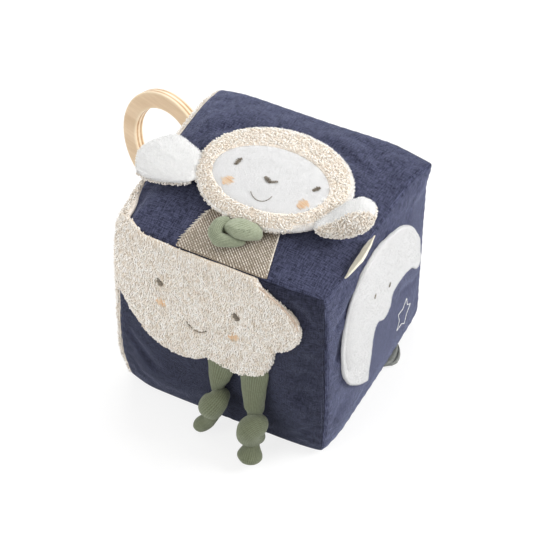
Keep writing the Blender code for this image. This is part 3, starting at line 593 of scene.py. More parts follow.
def hair(name, radius, length):
    """A thin closed spindle with its foot at zero, pointing along +Z."""
    bm = bmesh.new()
    bmesh.ops.create_uvsphere(bm, u_segments=3, v_segments=3, radius=1)
    for vert in bm.verts:
        vert.co = Vector((vert.co.x * radius, vert.co.y * radius, (vert.co.z * 0.5 + 0.35) * length))
    mesh = bpy.data.meshes.new(name)
    bm.to_mesh(mesh)
    bm.free()
    return bpy.data.objects.new(name, mesh)


def terry_loop(name, span, height, thread, steps=4, sides=4):
    """One loop of terry: an arch of thread with both feet in the ground."""
    bm = bmesh.new()
    rings = []
    for i in range(steps):
        turn = pi * i / (steps - 1)
        away = Vector((-cos(turn), 0, sin(turn)))
        middle = Vector((-cos(turn) * span / 2, 0, sin(turn) * height - thread))
        rings.append([
            bm.verts.new(
                middle + (away * cos(2 * pi * k / sides) + Vector((0, sin(2 * pi * k / sides), 0))) * thread
            )
            for k in range(sides)
        ])
    for one, two in zip(rings, rings[1:]):
        for k in range(sides):
            bm.faces.new((one[k], one[(k + 1) % sides], two[(k + 1) % sides], two[k]))
    bm.faces.new(rings[0][::-1])
    bm.faces.new(rings[-1])
    bmesh.ops.recalc_face_normals(bm, faces=bm.faces)
    mesh = bpy.data.meshes.new(name)
    bm.to_mesh(mesh)
    bm.free()
    return bpy.data.objects.new(name, mesh)


pile_tree, given, result = new_tree("pile", [
    ("Strand", "Object", None),
    ("Thread", "Material", None),
    ("Spacing", "Float", 0.001),
    ("Lean", "Vector", (0, 0, 0)),
    ("Locks", "Float", 0.003),
    ("Curl", "Float", 1.0),
    ("Ruffle", "Float", 0.5),
    ("Least", "Float", 0.8),
    ("Most", "Float", 1.2),
    ("Seed", "Int", 0),
])
where = add_node(pile_tree, "GeometryNodeInputNamedAttribute", {"Name": "pile"}, data_type="FLOAT")
dots = add_node(
    pile_tree, "GeometryNodeDistributePointsOnFaces",
    {"Mesh": given.outputs["Geometry"], "Distance Min": given.outputs["Spacing"], "Density Max": 9e6,
     "Density Factor": where.outputs["Attribute"], "Seed": given.outputs["Seed"]},
    distribute_method="POISSON",
)
pitch = add_node(pile_tree, "ShaderNodeMath", {0: 1.0, 1: given.outputs["Locks"]}, operation="DIVIDE")
locks = add_node(pile_tree, "ShaderNodeTexNoise", {"Scale": pitch.outputs[0], "Detail": 1.0})
swirl = add_node(
    pile_tree, "ShaderNodeVectorMath", {0: locks.outputs["Color"], 1: (0.5, 0.5, 0.5)}, operation="SUBTRACT"
)
swirl = add_node(
    pile_tree, "ShaderNodeVectorMath", {0: swirl.outputs[0], "Scale": given.outputs["Curl"]},
    operation="SCALE"
)
stray = add_node(
    pile_tree, "FunctionNodeRandomValue", {0: (-1, -1, -1), 1: (1, 1, 1), "Seed": given.outputs["Seed"]},
    data_type="FLOAT_VECTOR",
)
stray = add_node(
    pile_tree, "ShaderNodeVectorMath", {0: stray.outputs[0], "Scale": given.outputs["Ruffle"]},
    operation="SCALE"
)
aim = dots.outputs["Normal"]
for push in (given.outputs["Lean"], swirl.outputs[0], stray.outputs[0]):
    aim = add_node(pile_tree, "ShaderNodeVectorMath", {0: aim, 1: push}, operation="ADD").outputs[0]
turn = add_node(pile_tree, "FunctionNodeAlignRotationToVector", {"Vector": aim}, axis="Z")
spin = add_node(
    pile_tree, "FunctionNodeRandomValue", {0: (0, 0, 0), 1: (0, 0, 2 * pi), "Seed": 5},
    data_type="FLOAT_VECTOR"
)
spin = add_node(pile_tree, "FunctionNodeEulerToRotation", {0: spin.outputs[0]})
turn = add_node(
    pile_tree, "FunctionNodeRotateRotation", {"Rotation": turn.outputs[0], "Rotate By": spin.outputs[0]},
    rotation_space="LOCAL",
)
size = add_node(
    pile_tree, "FunctionNodeRandomValue",
    {2: given.outputs["Least"], 3: given.outputs["Most"], "Seed": given.outputs["Seed"]}, data_type="FLOAT",
)
strand = add_node(pile_tree, "GeometryNodeObjectInfo", {"Object": given.outputs["Strand"]})
strands = add_node(
    pile_tree, "GeometryNodeInstanceOnPoints",
    {"Points": dots.outputs["Points"], "Instance": strand.outputs["Geometry"], "Rotation": turn.outputs[0],
     "Scale": size.outputs[1]},
)
tint = add_node(pile_tree, "FunctionNodeRandomValue", {2: -0.35, 3: 0.35, "Seed": 7}, data_type="FLOAT")
tint = add_node(
    pile_tree, "ShaderNodeMath", {0: locks.outputs["Fac"], 1: 1.2, 2: tint.outputs[1]},
    operation="MULTIPLY_ADD"
)
tinted = add_node(
    pile_tree, "GeometryNodeStoreNamedAttribute",
    {"Geometry": strands.outputs[0], "Name": "shade", "Value": tint.outputs[0]},
    data_type="FLOAT", domain="INSTANCE",
)
real = add_node(pile_tree, "GeometryNodeRealizeInstances", {"Geometry": tinted.outputs[0]})
dyed = add_node(
    pile_tree, "GeometryNodeSetMaterial", {"Geometry": real.outputs[0], "Material": given.outputs["Thread"]}
)
pile_tree.links.new(dyed.outputs[0], result.inputs[0])


def join(obj, *others):
    with bpy.context.temp_override(active_object=obj, selected_editable_objects=[obj, *others]):
        bpy.ops.object.join()
    return obj


def grow_pile(obj, amount, strand, thread, **sizes):
    """A pile on an object, where the amount for each of its vertices is above 0, as an object of its own."""
    layer = obj.data.attributes.new("pile", "FLOAT", "POINT")
    layer.data.foreach_set("value", np.asarray(amount, np.float32))
    pile = grow(
        add_object("pile", obj.data.copy(), *obj.data.materials), pile_tree, strand=strand, thread=thread, **sizes
    )
    obj.data.attributes.remove(obj.data.attributes["pile"])
    return pile


def add_pile(obj, amount, strand, thread, **sizes):
    return join(obj, grow_pile(obj, amount, strand, thread, **sizes))


left_loop = terry_loop("left_loop", 0.0013, 0.0016, 0.00034, sides=3)
cover = covers["left"]
add_pile(
    cover, normals(cover) @ np.array(FACES["left"][0]) > 0.15, left_loop, terry_yarn,
    spacing=0.00125, lean=(0, 0, -0.4), ruffle=0.5, seed=3,
)
for cover in covers.values():
    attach(cover, "block")


# Cloud: cream terry with a short dense pile, sewn on over a little wadding, so that it stands up
# softly from the front. Its right lobe has a bound rim, and its face is worked in thread.

def pillow(name, nodes, voxel, rounds, *materials):
    """One or more nodes' solids as one evenly meshed soft piece with rounded edges."""
    bm = bmesh.new()
    for node in nodes:
        bm.from_mesh(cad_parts[node].data)
    mesh = bpy.data.meshes.new(name)
    bm.to_mesh(mesh)
    bm.free()
    obj = add_object(name, mesh, *materials)
    remesh = obj.modifiers.new("even", "REMESH")
    remesh.mode = "VOXEL"
    remesh.voxel_size = voxel
    smooth = obj.modifiers.new("soft", "SMOOTH")
    smooth.factor = 0.5
    smooth.iterations = rounds
    return settle(obj)


def along_line(route, step):
    """Places at even steps along a route, on a smooth curve through its points, with both its ends."""
    route = [Vector(p) for p in route]
    line = []
    for i in range(len(route) - 1):
        a, b, c, d = route[max(i - 1, 0)], route[i], route[i + 1], route[min(i + 2, len(route) - 1)]
        for k in range(12):
            t = k / 12
            straight = 2 * b + (c - a) * t
            curved = straight + (2 * a - 5 * b + 4 * c - d) * t * t
            line.append(0.5 * (curved + (3 * b - a - 3 * c + d) * t ** 3))
    line.append(route[-1])
    reach = np.concatenate([[0], np.cumsum([(q - p).length for p, q in zip(line, line[1:])])])
    wanted = np.linspace(0, reach[-1], max(2, round(reach[-1] / step) + 1))
    flat = np.array([tuple(p) for p in line])
    return [Vector(p) for p in np.stack([np.interp(wanted, reach, flat[:, k]) for k in range(3)], 1)]


def lay(skin, place, way, lift):
    """Where a needle going one way meets the cloth, lifted a little off it."""
    place, way = Vector(place), Vector(way)
    hit = skin.ray_cast(place - way * 0.03, way)[0]
    return (hit if hit is not None else place) - way * lift


sewn_tree, given, result = new_tree("sewn", [
    ("Stitch", "Object", None),
    ("Thread", "Material", None),
    ("Thickness", "Float", 0.0003),
])
ahead = add_node(
    sewn_tree, "GeometryNodeInputNamedAttribute", {"Name": "ahead"}, data_type="FLOAT_VECTOR"
).outputs[0]
upward = add_node(
    sewn_tree, "GeometryNodeInputNamedAttribute", {"Name": "up"}, data_type="FLOAT_VECTOR"
).outputs[0]
half = add_node(sewn_tree, "ShaderNodeVectorMath", {0: ahead}, operation="LENGTH")
reach = add_node(
    sewn_tree, "ShaderNodeMath", {0: half.outputs["Value"], 1: given.outputs["Thickness"]}, operation="ADD"
)
size = add_node(
    sewn_tree, "ShaderNodeCombineXYZ",
    {0: reach.outputs[0], 1: given.outputs["Thickness"], 2: given.outputs["Thickness"]},
)
turn = add_node(
    sewn_tree, "FunctionNodeAxesToRotation", {"Primary Axis": ahead, "Secondary Axis": upward},
    primary_axis="X", secondary_axis="Z",
)
stitch = add_node(sewn_tree, "GeometryNodeObjectInfo", {"Object": given.outputs["Stitch"]})
sewn = add_node(
    sewn_tree, "GeometryNodeInstanceOnPoints",
    {"Points": given.outputs["Geometry"], "Instance": stitch.outputs["Geometry"], "Rotation": turn.outputs[0],
     "Scale": size.outputs[0]},
)
tint = add_node(sewn_tree, "FunctionNodeRandomValue", {2: 0.0, 3: 1.0, "Seed": 11}, data_type="FLOAT")
tinted = add_node(
    sewn_tree, "GeometryNodeStoreNamedAttribute",
    {"Geometry": sewn.outputs[0], "Name": "shade", "Value": tint.outputs[1]},
    data_type="FLOAT", domain="INSTANCE",
)
real = add_node(sewn_tree, "GeometryNodeRealizeInstances", {"Geometry": tinted.outputs[0]})
dyed = add_node(
    sewn_tree, "GeometryNodeSetMaterial", {"Geometry": real.outputs[0], "Material": given.outputs["Thread"]}
)
sewn_tree.links.new(dyed.outputs[0], result.inputs[0])

bm = bmesh.new()
bmesh.ops.create_uvsphere(bm, u_segments=6, v_segments=5, radius=1)
bmesh.ops.transform(bm, matrix=Matrix.Rotation(radians(90), 4, "Y"), verts=bm.verts)
mesh = bpy.data.meshes.new("stitch")
bm.to_mesh(mesh)
bm.free()
stitch_shape = bpy.data.objects.new("stitch", mesh)


def sew(name, body, thread, thickness, marks):
    """Separate stitches in one thread, each lying from one place to another: (start, end, up)."""
    starts, ends, ups = (np.array([tuple(mark[k]) for mark in marks]) for k in range(3))
    mesh = bpy.data.meshes.new(name)
    mesh.from_pydata([tuple(p) for p in (starts + ends) / 2], [], [])
    for label, values in (("ahead", (ends - starts) / 2), ("up", ups)):
        layer = mesh.attributes.new(label, "FLOAT_VECTOR", "POINT")
        layer.data.foreach_set("vector", values.astype(np.float32).ravel())
    obj = grow(add_object(name, mesh), sewn_tree, stitch=stitch_shape, thread=thread, thickness=thickness)
    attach(obj, body)
    return obj


def satin(skin, way, middle, long_way, half_long, half_wide, threads, lift, power=2.0, rough=0.0):
    """A patch of satin stitches side by side, rounded at both ends, or ragged where it is worked roughly."""
    way, middle, long_way = Vector(way), Vector(middle), Vector(long_way).normalized()
    cross_way = way.cross(long_way).normalized()
    marks = []
    for i in range(threads):
        run = -1 + (2 * i + 1) / threads
        wide = half_wide * (1 - abs(run) ** power) ** (1 / power)
        spot = middle + long_way * run * half_long
        wides = [side * wide + rough * noise.noise(spot * 3000 + Vector((side, 0, 0))) for side in (-1, 1)]
        ends = [lay(skin, spot + cross_way * far, way, lift) for far in wides]
        marks.append((*ends, -way))
    return marks


def run_stitches(skin, way, route, length, gap, lift):
    """Even stitches end to end along a route on the cloth."""
    spots = [lay(skin, spot, way, lift) for spot in along_line(route, length + gap)]
    marks = []
    for one, two in zip(spots, spots[1:]):
        pull = (two - one) * (gap / (2 * (length + gap)))
        marks.append((one + pull, two - pull, -Vector(way)))
    return marks


def bare(points, spots):
    """1 where the pile stays, and 0 within reach of any spot: (place, reach)."""
    kept = np.ones(len(points))
    for place, reach in spots:
        far = np.linalg.norm(points - np.array(tuple(place)), axis=1)
        kept = np.minimum(kept, far > reach)
    return kept


brown_thread = yarn("brown_thread", (0.075, 0.060, 0.042, 1), (0.230, 0.190, 0.140, 1), roughness=0.5)
peach_thread = yarn("peach_thread", (0.74, 0.40, 0.15, 1), (0.96, 0.78, 0.58, 1), roughness=0.5)
rim_thread = yarn("rim_thread", (0.90, 0.86, 0.81, 1), (1.0, 0.99, 0.97, 1), roughness=0.7)
inward = Vector((0, 1, 0))
cloud_ground = pile_base("cloud_ground", (0.66, 0.56, 0.45, 1), (0.84, 0.75, 0.64, 1))
cloud = pillow("cloud", ("cloud_applique",), 0.0008, 6, cloud_ground)
points = places(cloud)
points += normals(cloud) * (0.0004 * ripple(points, 0.014, 4))[:, None]
cloud_front = -0.0695      # where its stitched face lies, along the block's depth
rim_groove = [
    (0.0288, 0.1318), (0.0331, 0.1290), (0.0379, 0.1259), (0.0423, 0.1228), (0.0464, 0.1190),
    (0.0494, 0.1156), (0.0513, 0.1125), (0.0523, 0.1085),
]
groove_depth = 0.0016
groove_width = 0.0010
rim_lift = 0.0008
rim_wide = 0.0060
lobe_middle = (0.0230, 0.1040)
seam_edge = 0.1290
outward = normals(cloud)
facing = outward[:, 1] < -0.2
to_groove = np.full(len(points), 1.0)
outside = np.zeros(len(points), bool)
for spot in along_line([(x, cloud_front, z) for x, z in rim_groove], 0.0005):
    far = np.hypot(points[:, 0] - spot.x, points[:, 2] - spot.z)
    beyond = np.hypot(points[:, 0] - lobe_middle[0], points[:, 2] - lobe_middle[1])
    beyond = beyond > np.hypot(spot.x - lobe_middle[0], spot.z - lobe_middle[1])
    outside = np.where(far < to_groove, beyond, outside)
    to_groove = np.minimum(to_groove, far)
points[:, 1] += facing * groove_depth * np.exp(-(to_groove / groove_width) ** 2)
points[:, 1] -= facing * rim_lift * np.exp(-((to_groove - 0.0030) / 0.0016) ** 2)
over = eased((points[:, 2] - seam_edge) / 0.004)
points += over[:, None] * np.array((0, 0.0006, 0.0009))
end = eased((-0.046 - points[:, 0]) / 0.012) * eased((points[:, 2] - 0.121) / 0.010)
points += end[:, None] * np.array((0.0004, 0.0026, 0.0016))
put(cloud, tuck(points))
cloud_skin = skin_of(cloud)
in_groove = to_groove < 0.0013
eyes = ((-0.0340, 0.1058), (0.0139, 0.1012))
cheeks = ((-0.0333, 0.0897), (0.0125, 0.0834))
smile = [(-0.0169, 0.0822), (-0.0148, 0.0794), (-0.0123, 0.0775), (-0.0084, 0.0772), (-0.0046, 0.0802)]
smile = [(x, cloud_front, z) for x, z in smile]
marks = [(lay(cloud_skin, (x, cloud_front, z), inward, 0), 0.0029) for x, z in eyes + cheeks]
marks += [(lay(cloud_skin, spot, inward, 0), 0.0011) for spot in along_line(smile, 0.0005)]
points = places(cloud)
# the groove is left bare, so the cloud's darker ground shows along it: partly painted shade for the groove
shows = (normals(cloud)[:, 1] < 0.30) & ~in_groove
on_rim = shows & outside & (to_groove < rim_wide)
amount = (shows & ~on_rim) * bare(points, marks)
cloud_loop = terry_loop("cloud_loop", 0.0010, 0.0018, 0.00040)
rim_hair = hair("rim_hair", 0.00020, 0.0013)
rim_pile = grow_pile(
    cloud, on_rim, rim_hair, rim_thread, spacing=0.00060, lean=(1.0, 0, 0.8), locks=0.003, curl=1.2,
    ruffle=0.5, seed=15,
)
add_pile(
    cloud, amount, cloud_loop, terry_yarn, spacing=0.00098, lean=(0.05, 0, -1.9), locks=0.0034, curl=1.0,
    ruffle=0.4, seed=5,
)
join(cloud, rim_pile)
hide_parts("cloud_applique")
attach(cloud, "block")

marks = []
for x, z in eyes:
    marks += satin(
        cloud_skin, inward, (x, cloud_front, z), (-0.45, 0, 0.9), 0.0030, 0.0019, 12, 0.0006, rough=0.0010
    )
sew("cloud_eyes", "block", brown_thread, 0.00027, marks)
marks = []
for x, z in cheeks:
    marks += satin(cloud_skin, inward, (x, cloud_front, z), (1, 0, 0.1), 0.0034, 0.0031, 12, 0.0006, rough=0.0030)
sew("cloud_cheeks", "block", peach_thread, 0.00025, marks)
marks = run_stitches(cloud_skin, inward, smile, 0.0019, 0.0001, 0.0007)
sew("cloud_smile", "block", brown_thread, 0.00036, marks)
# partly painted shade: the rim seam is real stitching, but its dark brown thread stands in for the groove's shadow
rim_seam_thread_and_shade = yarn("rim_seam_thread_and_shade", (0.42, 0.31, 0.23, 1), (0.62, 0.50, 0.40, 1), roughness=0.7)
rim_route = [(x, cloud_front, z) for x, z in rim_groove]
marks = run_stitches(cloud_skin, inward, rim_route, 0.0020, 0.0003, 0.0003)
sew("cloud_rim_seam", "block", rim_seam_thread_and_shade, 0.0007, marks)


# Moon: white velour on the right face, lightly padded, turned under and topstitched along its curve,
# with two small eyes. Beside it a small star is outlined in white thread.

velour = pile_base("velour_ground", (0.75, 0.75, 0.75, 1), (0.80, 0.80, 0.80, 1), size=0.0004)
velour_yarn = yarn("velour_yarn", (0.76, 0.76, 0.76, 1), (0.84, 0.84, 0.84, 1), sheen=0.2)
white_thread = yarn("white_thread", (0.80, 0.80, 0.79, 1), (0.93, 0.93, 0.92, 1), roughness=0.5)
short_hair = hair("short_hair", 0.00011, 0.00080)
leftward = Vector((-1, 0, 0))
moon = pillow("moon", ("moon_applique",), 0.0007, 8, velour)
points = places(moon)
topstitch = [
    (-0.0453, 0.0603), (-0.0482, 0.0731), (-0.0486, 0.0833), (-0.0475, 0.0925), (-0.0452, 0.1018),
    (-0.0420, 0.1085), (-0.0385, 0.1128), (-0.0345, 0.1155), (-0.0277, 0.1180),
]
topstitch = [(0.0735, y, z) for y, z in topstitch]
flat = points[:, 1:]
to_groove = np.full(len(points), 1.0)
for spot in along_line(topstitch, 0.0005):
    to_groove = np.minimum(to_groove, np.linalg.norm(flat - np.array((spot.y, spot.z)), axis=1))
outward = normals(moon)
front = outward[:, 0] > 0.3
points[:, 0] += 0.0008 * front * eased((to_groove - 0.001) / 0.004)
points[:, 0] -= 0.0011 * front * np.exp(-(to_groove / 0.0010) ** 2)
points += outward * (0.0003 * ripple(points, 0.012, 6))[:, None]
put(moon, points)
moon_skin = skin_of(moon)
eyes = ((-0.0167, 0.0962), (0.0020, 0.0877))
marks = [(lay(moon_skin, (0.0735, y, z), leftward, 0), 0.0011) for y, z in eyes]
add_pile(
    moon, (normals(moon)[:, 0] > 0.05) * bare(points, marks), short_hair, velour_yarn, spacing=0.00040,
    lean=(0, 0.2, -0.6), locks=0.006, curl=0.5, ruffle=0.25, seed=6,
)
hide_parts("moon_applique")
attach(moon, "block")

marks = []
for y, z in eyes:
    marks += satin(moon_skin, leftward, (0.0735, y, z), (0, 0.3, 1), 0.0017, 0.0011, 6, 0.0003)
sew("moon_eyes", "block", brown_thread, 0.00024, marks)
topstitches = run_stitches(moon_skin, leftward, topstitch, 0.0021, 0.0005, 0.0003)
sew("moon_topstitch", "block", white_thread, 0.00022, topstitches)

star_middle = (0.0275, 0.0370)
star_reach = 0.0105
star_waist_share = 0.58
star_turn = radians(66)
star = []
for i in range(11):
    far = star_reach * (1 if i % 2 == 0 else star_waist_share)
    turn = star_turn + i * pi / 5
    star.append(Vector((0.0715, star_middle[0] + far * cos(turn), star_middle[1] + far * sin(turn))))
marks = []
for one, two in zip(star, star[1:]):
    marks += run_stitches(skins["right"], leftward, [one, two], 0.0017, 0.0003, 0.0001)
sew("star_outline", "block", white_thread, 0.00028, marks)


# Lamb's body: one piece of coarse beige twill, laid on the top cover from under the lamb's chin to
# the front seam. Its left edge frays a little, and its right edge is the cloth's own pale selvage.

def twill(name, dark, light, pitch):
    """A dense ground of crossing yarns that the raised ribs of the twill leave in their shade."""
    made, tree, shader = new_material(name)
    map_ = add_node(tree, "ShaderNodeUVMap", uv_map="weave")
    fit = add_node(tree, "ShaderNodeMapping", {"Vector": map_.outputs[0], "Rotation": (0, 0, radians(43))})
    ribs = add_node(
        tree, "ShaderNodeTexWave",
        {"Vector": fit.outputs[0], "Scale": 0.314 / pitch, "Distortion": 0.6, "Detail": 2},
        bands_direction="Y",
    )
    grains = add_node(
        tree, "ShaderNodeTexWave",
        {"Vector": fit.outputs[0], "Scale": 0.314 / (pitch * 0.8), "Distortion": 0.6, "Detail": 2},
        bands_direction="X",
    )
    weave = add_node(
        tree, "ShaderNodeMath", {0: ribs.outputs["Fac"], 1: grains.outputs["Fac"]}, operation="MULTIPLY"
    )
    fibre = add_node(tree, "ShaderNodeTexNoise", {"Vector": map_.outputs[0], "Scale": 900, "Detail": 3})
    tone = add_node(
        tree, "ShaderNodeMath", {0: fibre.outputs["Fac"], 1: 0.7, 2: weave.outputs[0]},
        operation="MULTIPLY_ADD"
    )
    ramp = add_node(tree, "ShaderNodeMapRange", {"Value": tone.outputs[0], "From Min": 0.25, "From Max": 1.2})
    colour = add_node(
        tree, "ShaderNodeMix", {"Factor": ramp.outputs[0], "A": dark, "B": light}, data_type="RGBA"
    )
    tree.links.new(colour.outputs["Result"], shader.inputs["Base Color"])
    bump = add_node(tree, "ShaderNodeBump", {"Height": tone.outputs[0], "Strength": 0.8, "Distance": 0.0003})
    tree.links.new(bump.outputs[0], shader.inputs["Normal"])
    shader.inputs["Roughness"].default_value = 0.9
    shader.inputs["Specular IOR Level"].default_value = 0.15
    shader.inputs["Sheen Weight"].default_value = 0.2
    return made


beige_twill = twill("beige_twill", (0.20, 0.16, 0.12, 1), (0.46, 0.39, 0.31, 1), 0.0013)
grain_thread = yarn("grain_thread", (0.50, 0.43, 0.34, 1), (0.92, 0.85, 0.76, 1), roughness=0.8)
downward = Vector((0, 0, -1))
body = cloth_copy("lamb_body_cloth", "lamb_body", beige_twill, levels=2)
put(body, tuck(places(body)))
lay_weave(body, (1, 0, 0), (0, 1, 0))
body_skin = skin_of(body)
body_low, body_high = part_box("lamb_body")
rib_step = Vector((0.001226, -0.001140, 0))
row_step = Vector((0.000835, 0.001056, 0))
grain_half = rib_step * 0.26
middle = (body_low + body_high) / 2
marks = []
for row in range(-42, 43):
    for place in range(-30, 31):
        spot = middle + row_step * row + rib_step * place
        ends = []
        for side in (-1, 1):
            end = spot + grain_half * side
            end.z = 0.17
            hit = body_skin.ray_cast(end, downward)[0]
            ends.append(hit)
        if None not in ends and (ends[1] - ends[0]).length < 0.0022:
            marks.append((*ends, -downward))
sew("lamb_body_ribs", "block", grain_thread, 0.00036, marks)
left_edge = [Vector((-0.0198, -0.0362, 0.14)), Vector((-0.0256, -0.0600, 0.14))]
right_edge = [Vector((0.0236, -0.0338, 0.14)), Vector((0.0300, -0.0590, 0.14))]
ground_skin = skin_of(body, covers["top"])
marks = []
for i, spot in enumerate(along_line(left_edge, 0.0008)):
    jitter = noise.noise(spot * 900) * 0.0012
    outward = Vector((-0.0010 - 0.0006 * (i % 3), jitter, 0))
    ends = [lay(ground_skin, spot + shift, downward, 0.0003) for shift in (Vector((0.0008, 0, 0)), outward)]
    marks.append((*ends, -downward))
sew("lamb_body_fray", "block", grain_thread, 0.00022, marks)
marks = []
for inset in (0.0003, 0.0012):
    edge = [spot - Vector((inset, 0, 0)) for spot in right_edge]
    marks += run_stitches(body_skin, downward, edge, 0.0011, 0.0002, 0.0001)
sew("lamb_body_selvage", "block", grain_thread, 0.00034, marks)
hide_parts("lamb_body")
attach(body, "block")
dress("neck_tab", beige_twill)


# Head: a flat stuffed oval. Its front is a ring of cream terry round a face of white velour, its
# back is plain terry, and the two are joined at the rim with a dense white overlock stitch.

rim_ground = pile_base("rim_ground", (0.84, 0.79, 0.73, 1), (0.94, 0.91, 0.87, 1))
head_loop = terry_loop("head_loop", 0.0014, 0.0016, 0.00036)
head_ring = cloth_copy("head_ring", "head_front", terry_ground, rim_ground, levels=2)
head_under = cloth_copy("head_under", "head_back", terry_ground, rim_ground, levels=2)
face = cloth_copy("lamb_face", "head_face", velour, levels=3)
face_ease = 1.030       # the face is cut a little wider than the hole that it fills
for seed, piece in ((8, head_ring), (9, head_under)):
    put(piece, places(piece) + normals(piece) * (0.0004 * ripple(places(piece), 0.011, seed))[:, None])
points = places(face)
face_middle = (points.max(axis=0) + points.min(axis=0)) / 2
points[:, :2] = face_middle[:2] + (points[:, :2] - face_middle[:2]) * face_ease
put(face, points)
face_skin = skin_of(face)
head_skin = skin_of(head_ring, head_under)
rim_low, rim_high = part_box("head_front")
rim_middle = (rim_low + rim_high) / 2
rim_half = (rim_high - rim_low) / 2
rim_height = (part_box("head_back")[1].z + rim_low.z) / 2
overlock_pitch = 0.0010
overlock_half = 0.0013
marks = []
turns = round(2 * pi * (rim_half.x + rim_half.y) / 2 / overlock_pitch)
for i in range(turns):
    turn = 2 * pi * i / turns
    for start, end in ((-1, 1), (1, -1)):
        ends = []
        for side, shift in ((start, 0), (end, 0.5)):
            angle = turn + 2 * pi * shift / turns * (1 if start < 0 else -1)
            way = -Vector((cos(angle) / rim_half.x, sin(angle) / rim_half.y, 0)).normalized()
            place = Vector((
                rim_middle.x + rim_half.x * cos(angle), rim_middle.y + rim_half.y * sin(angle), rim_height,
            ))
            place.z += side * overlock_half
            ends.append(lay(head_skin, place, way, 0.0003))
        marks.append((*ends, -way))
sew("head_overlock", "head", rim_thread, 0.00036, marks)
rim_band = 0.0024
for piece, side, seed in ((head_ring, 1, 9), (head_under, -1, 10)):
    points = places(piece)
    local = points - np.array(rim_middle)
    outward = normals(piece)
    away = np.einsum("ij,ij->i", outward, local * np.array((1, 1.4, 3)))
    shows = (away > 0) & (outward[:, 2] * side > -0.35)
    inset = (1 - np.hypot(local[:, 0] / rim_half.x, local[:, 1] / rim_half.y)) * (rim_half.x + rim_half.y) / 2
    at_rim = np.abs(points[:, 2] - rim_height) < 0.0036
    in_band = (inset < rim_band) & at_rim & (local[:, 0] + local[:, 1] > -0.005)
    piles = [
        grow_pile(
            piece, shows & ~in_band, head_loop, terry_yarn, spacing=0.00120, lean=(0, -0.2, 0), locks=0.0030,
            curl=2.6, ruffle=0.7, seed=seed,
        ),
        grow_pile(
            piece, shows & in_band, rim_hair, rim_thread, spacing=0.00052, lean=(0, 0, 0.2 * side), locks=0.003,
            curl=1.2, ruffle=0.8, seed=seed,
        ),
    ]
    for polygon in piece.data.polygons:
        polygon.material_index = int(in_band[list(polygon.vertices)].mean() > 0.5)
    join(piece, *piles)
    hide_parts("head_front" if side > 0 else "head_back")
    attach(piece, "head")

face_top = 0.152
eyes = (((-0.0177, -0.0087), (-0.0169, -0.0029)), ((0.0301, -0.0074), (0.0321, -0.0032)))
cheeks = ((-0.0159, -0.0216), (0.0297, -0.0191))
nose = (((0.0018, -0.0102), (0.0064, -0.0130), 0.0016), ((0.0054, -0.0132), (0.0096, -0.0104), 0.0009))
smile = [
    (-0.0004, -0.0237), (0.0020, -0.0261), (0.0055, -0.0278), (0.0092, -0.0271), (0.0113, -0.0245),
    (0.0118, -0.0217),
]
smile = [(x, y, face_top) for x, y in smile]
spots = [(lay(face_skin, (*middle, face_top), downward, 0), 0.0030) for middle in cheeks]
for one, two in eyes:
    spot_line = along_line([(*one, face_top), (*two, face_top)], 0.0008)
    spots += [(lay(face_skin, spot, downward, 0), 0.0009) for spot in spot_line]
for one, two, wide in nose:
    spot_line = along_line([(*one, face_top), (*two, face_top)], 0.0008)
    spots += [(lay(face_skin, spot, downward, 0), 0.0007) for spot in spot_line]
spots += [(lay(face_skin, spot, downward, 0), 0.0004) for spot in along_line(smile, 0.0004)]
add_pile(
    face, (normals(face)[:, 2] > 0.2) * bare(places(face), spots), short_hair, velour_yarn, spacing=0.00042,
    lean=(0.2, -0.4, 0), locks=0.007, curl=0.5, ruffle=0.25, seed=12,
)
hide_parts("head_face")
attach(face, "head")
marks = []
for one, two in eyes:
    one, two = Vector((*one, face_top)), Vector((*two, face_top))
    marks += satin(
        face_skin, downward, (one + two) / 2, two - one, (two - one).length / 2 + 0.0003, 0.0013, 10, 0.0004,
        power=3, rough=0.0012,
    )
for one, two, wide in nose:
    one, two = Vector((*one, face_top)), Vector((*two, face_top))
    marks += satin(
        face_skin, downward, (one + two) / 2, two - one, (two - one).length / 2 + 0.0003, wide, 9, 0.0004,
        rough=0.0006,
    )
sew("lamb_eyes_and_nose", "head", brown_thread, 0.00027, marks)
marks = []
for x, y in cheeks:
    marks += satin(
        face_skin, downward, (x, y, face_top), (0.35, 1, 0), 0.0036, 0.0031, 12, 0.0004, rough=0.0030
    )
sew("lamb_cheeks", "head", peach_thread, 0.00023, marks)
smile_stitches = run_stitches(face_skin, downward, smile, 0.0016, 0.0001, 0.0003)
sew("lamb_smile", "head", brown_thread, 0.00024, smile_stitches)


# Ears: two soft lobes of longer white velour, lined with cream terry and caught in the rim seam.
# The left one lies out over the block's edge; the right one curls up and shows its lining.

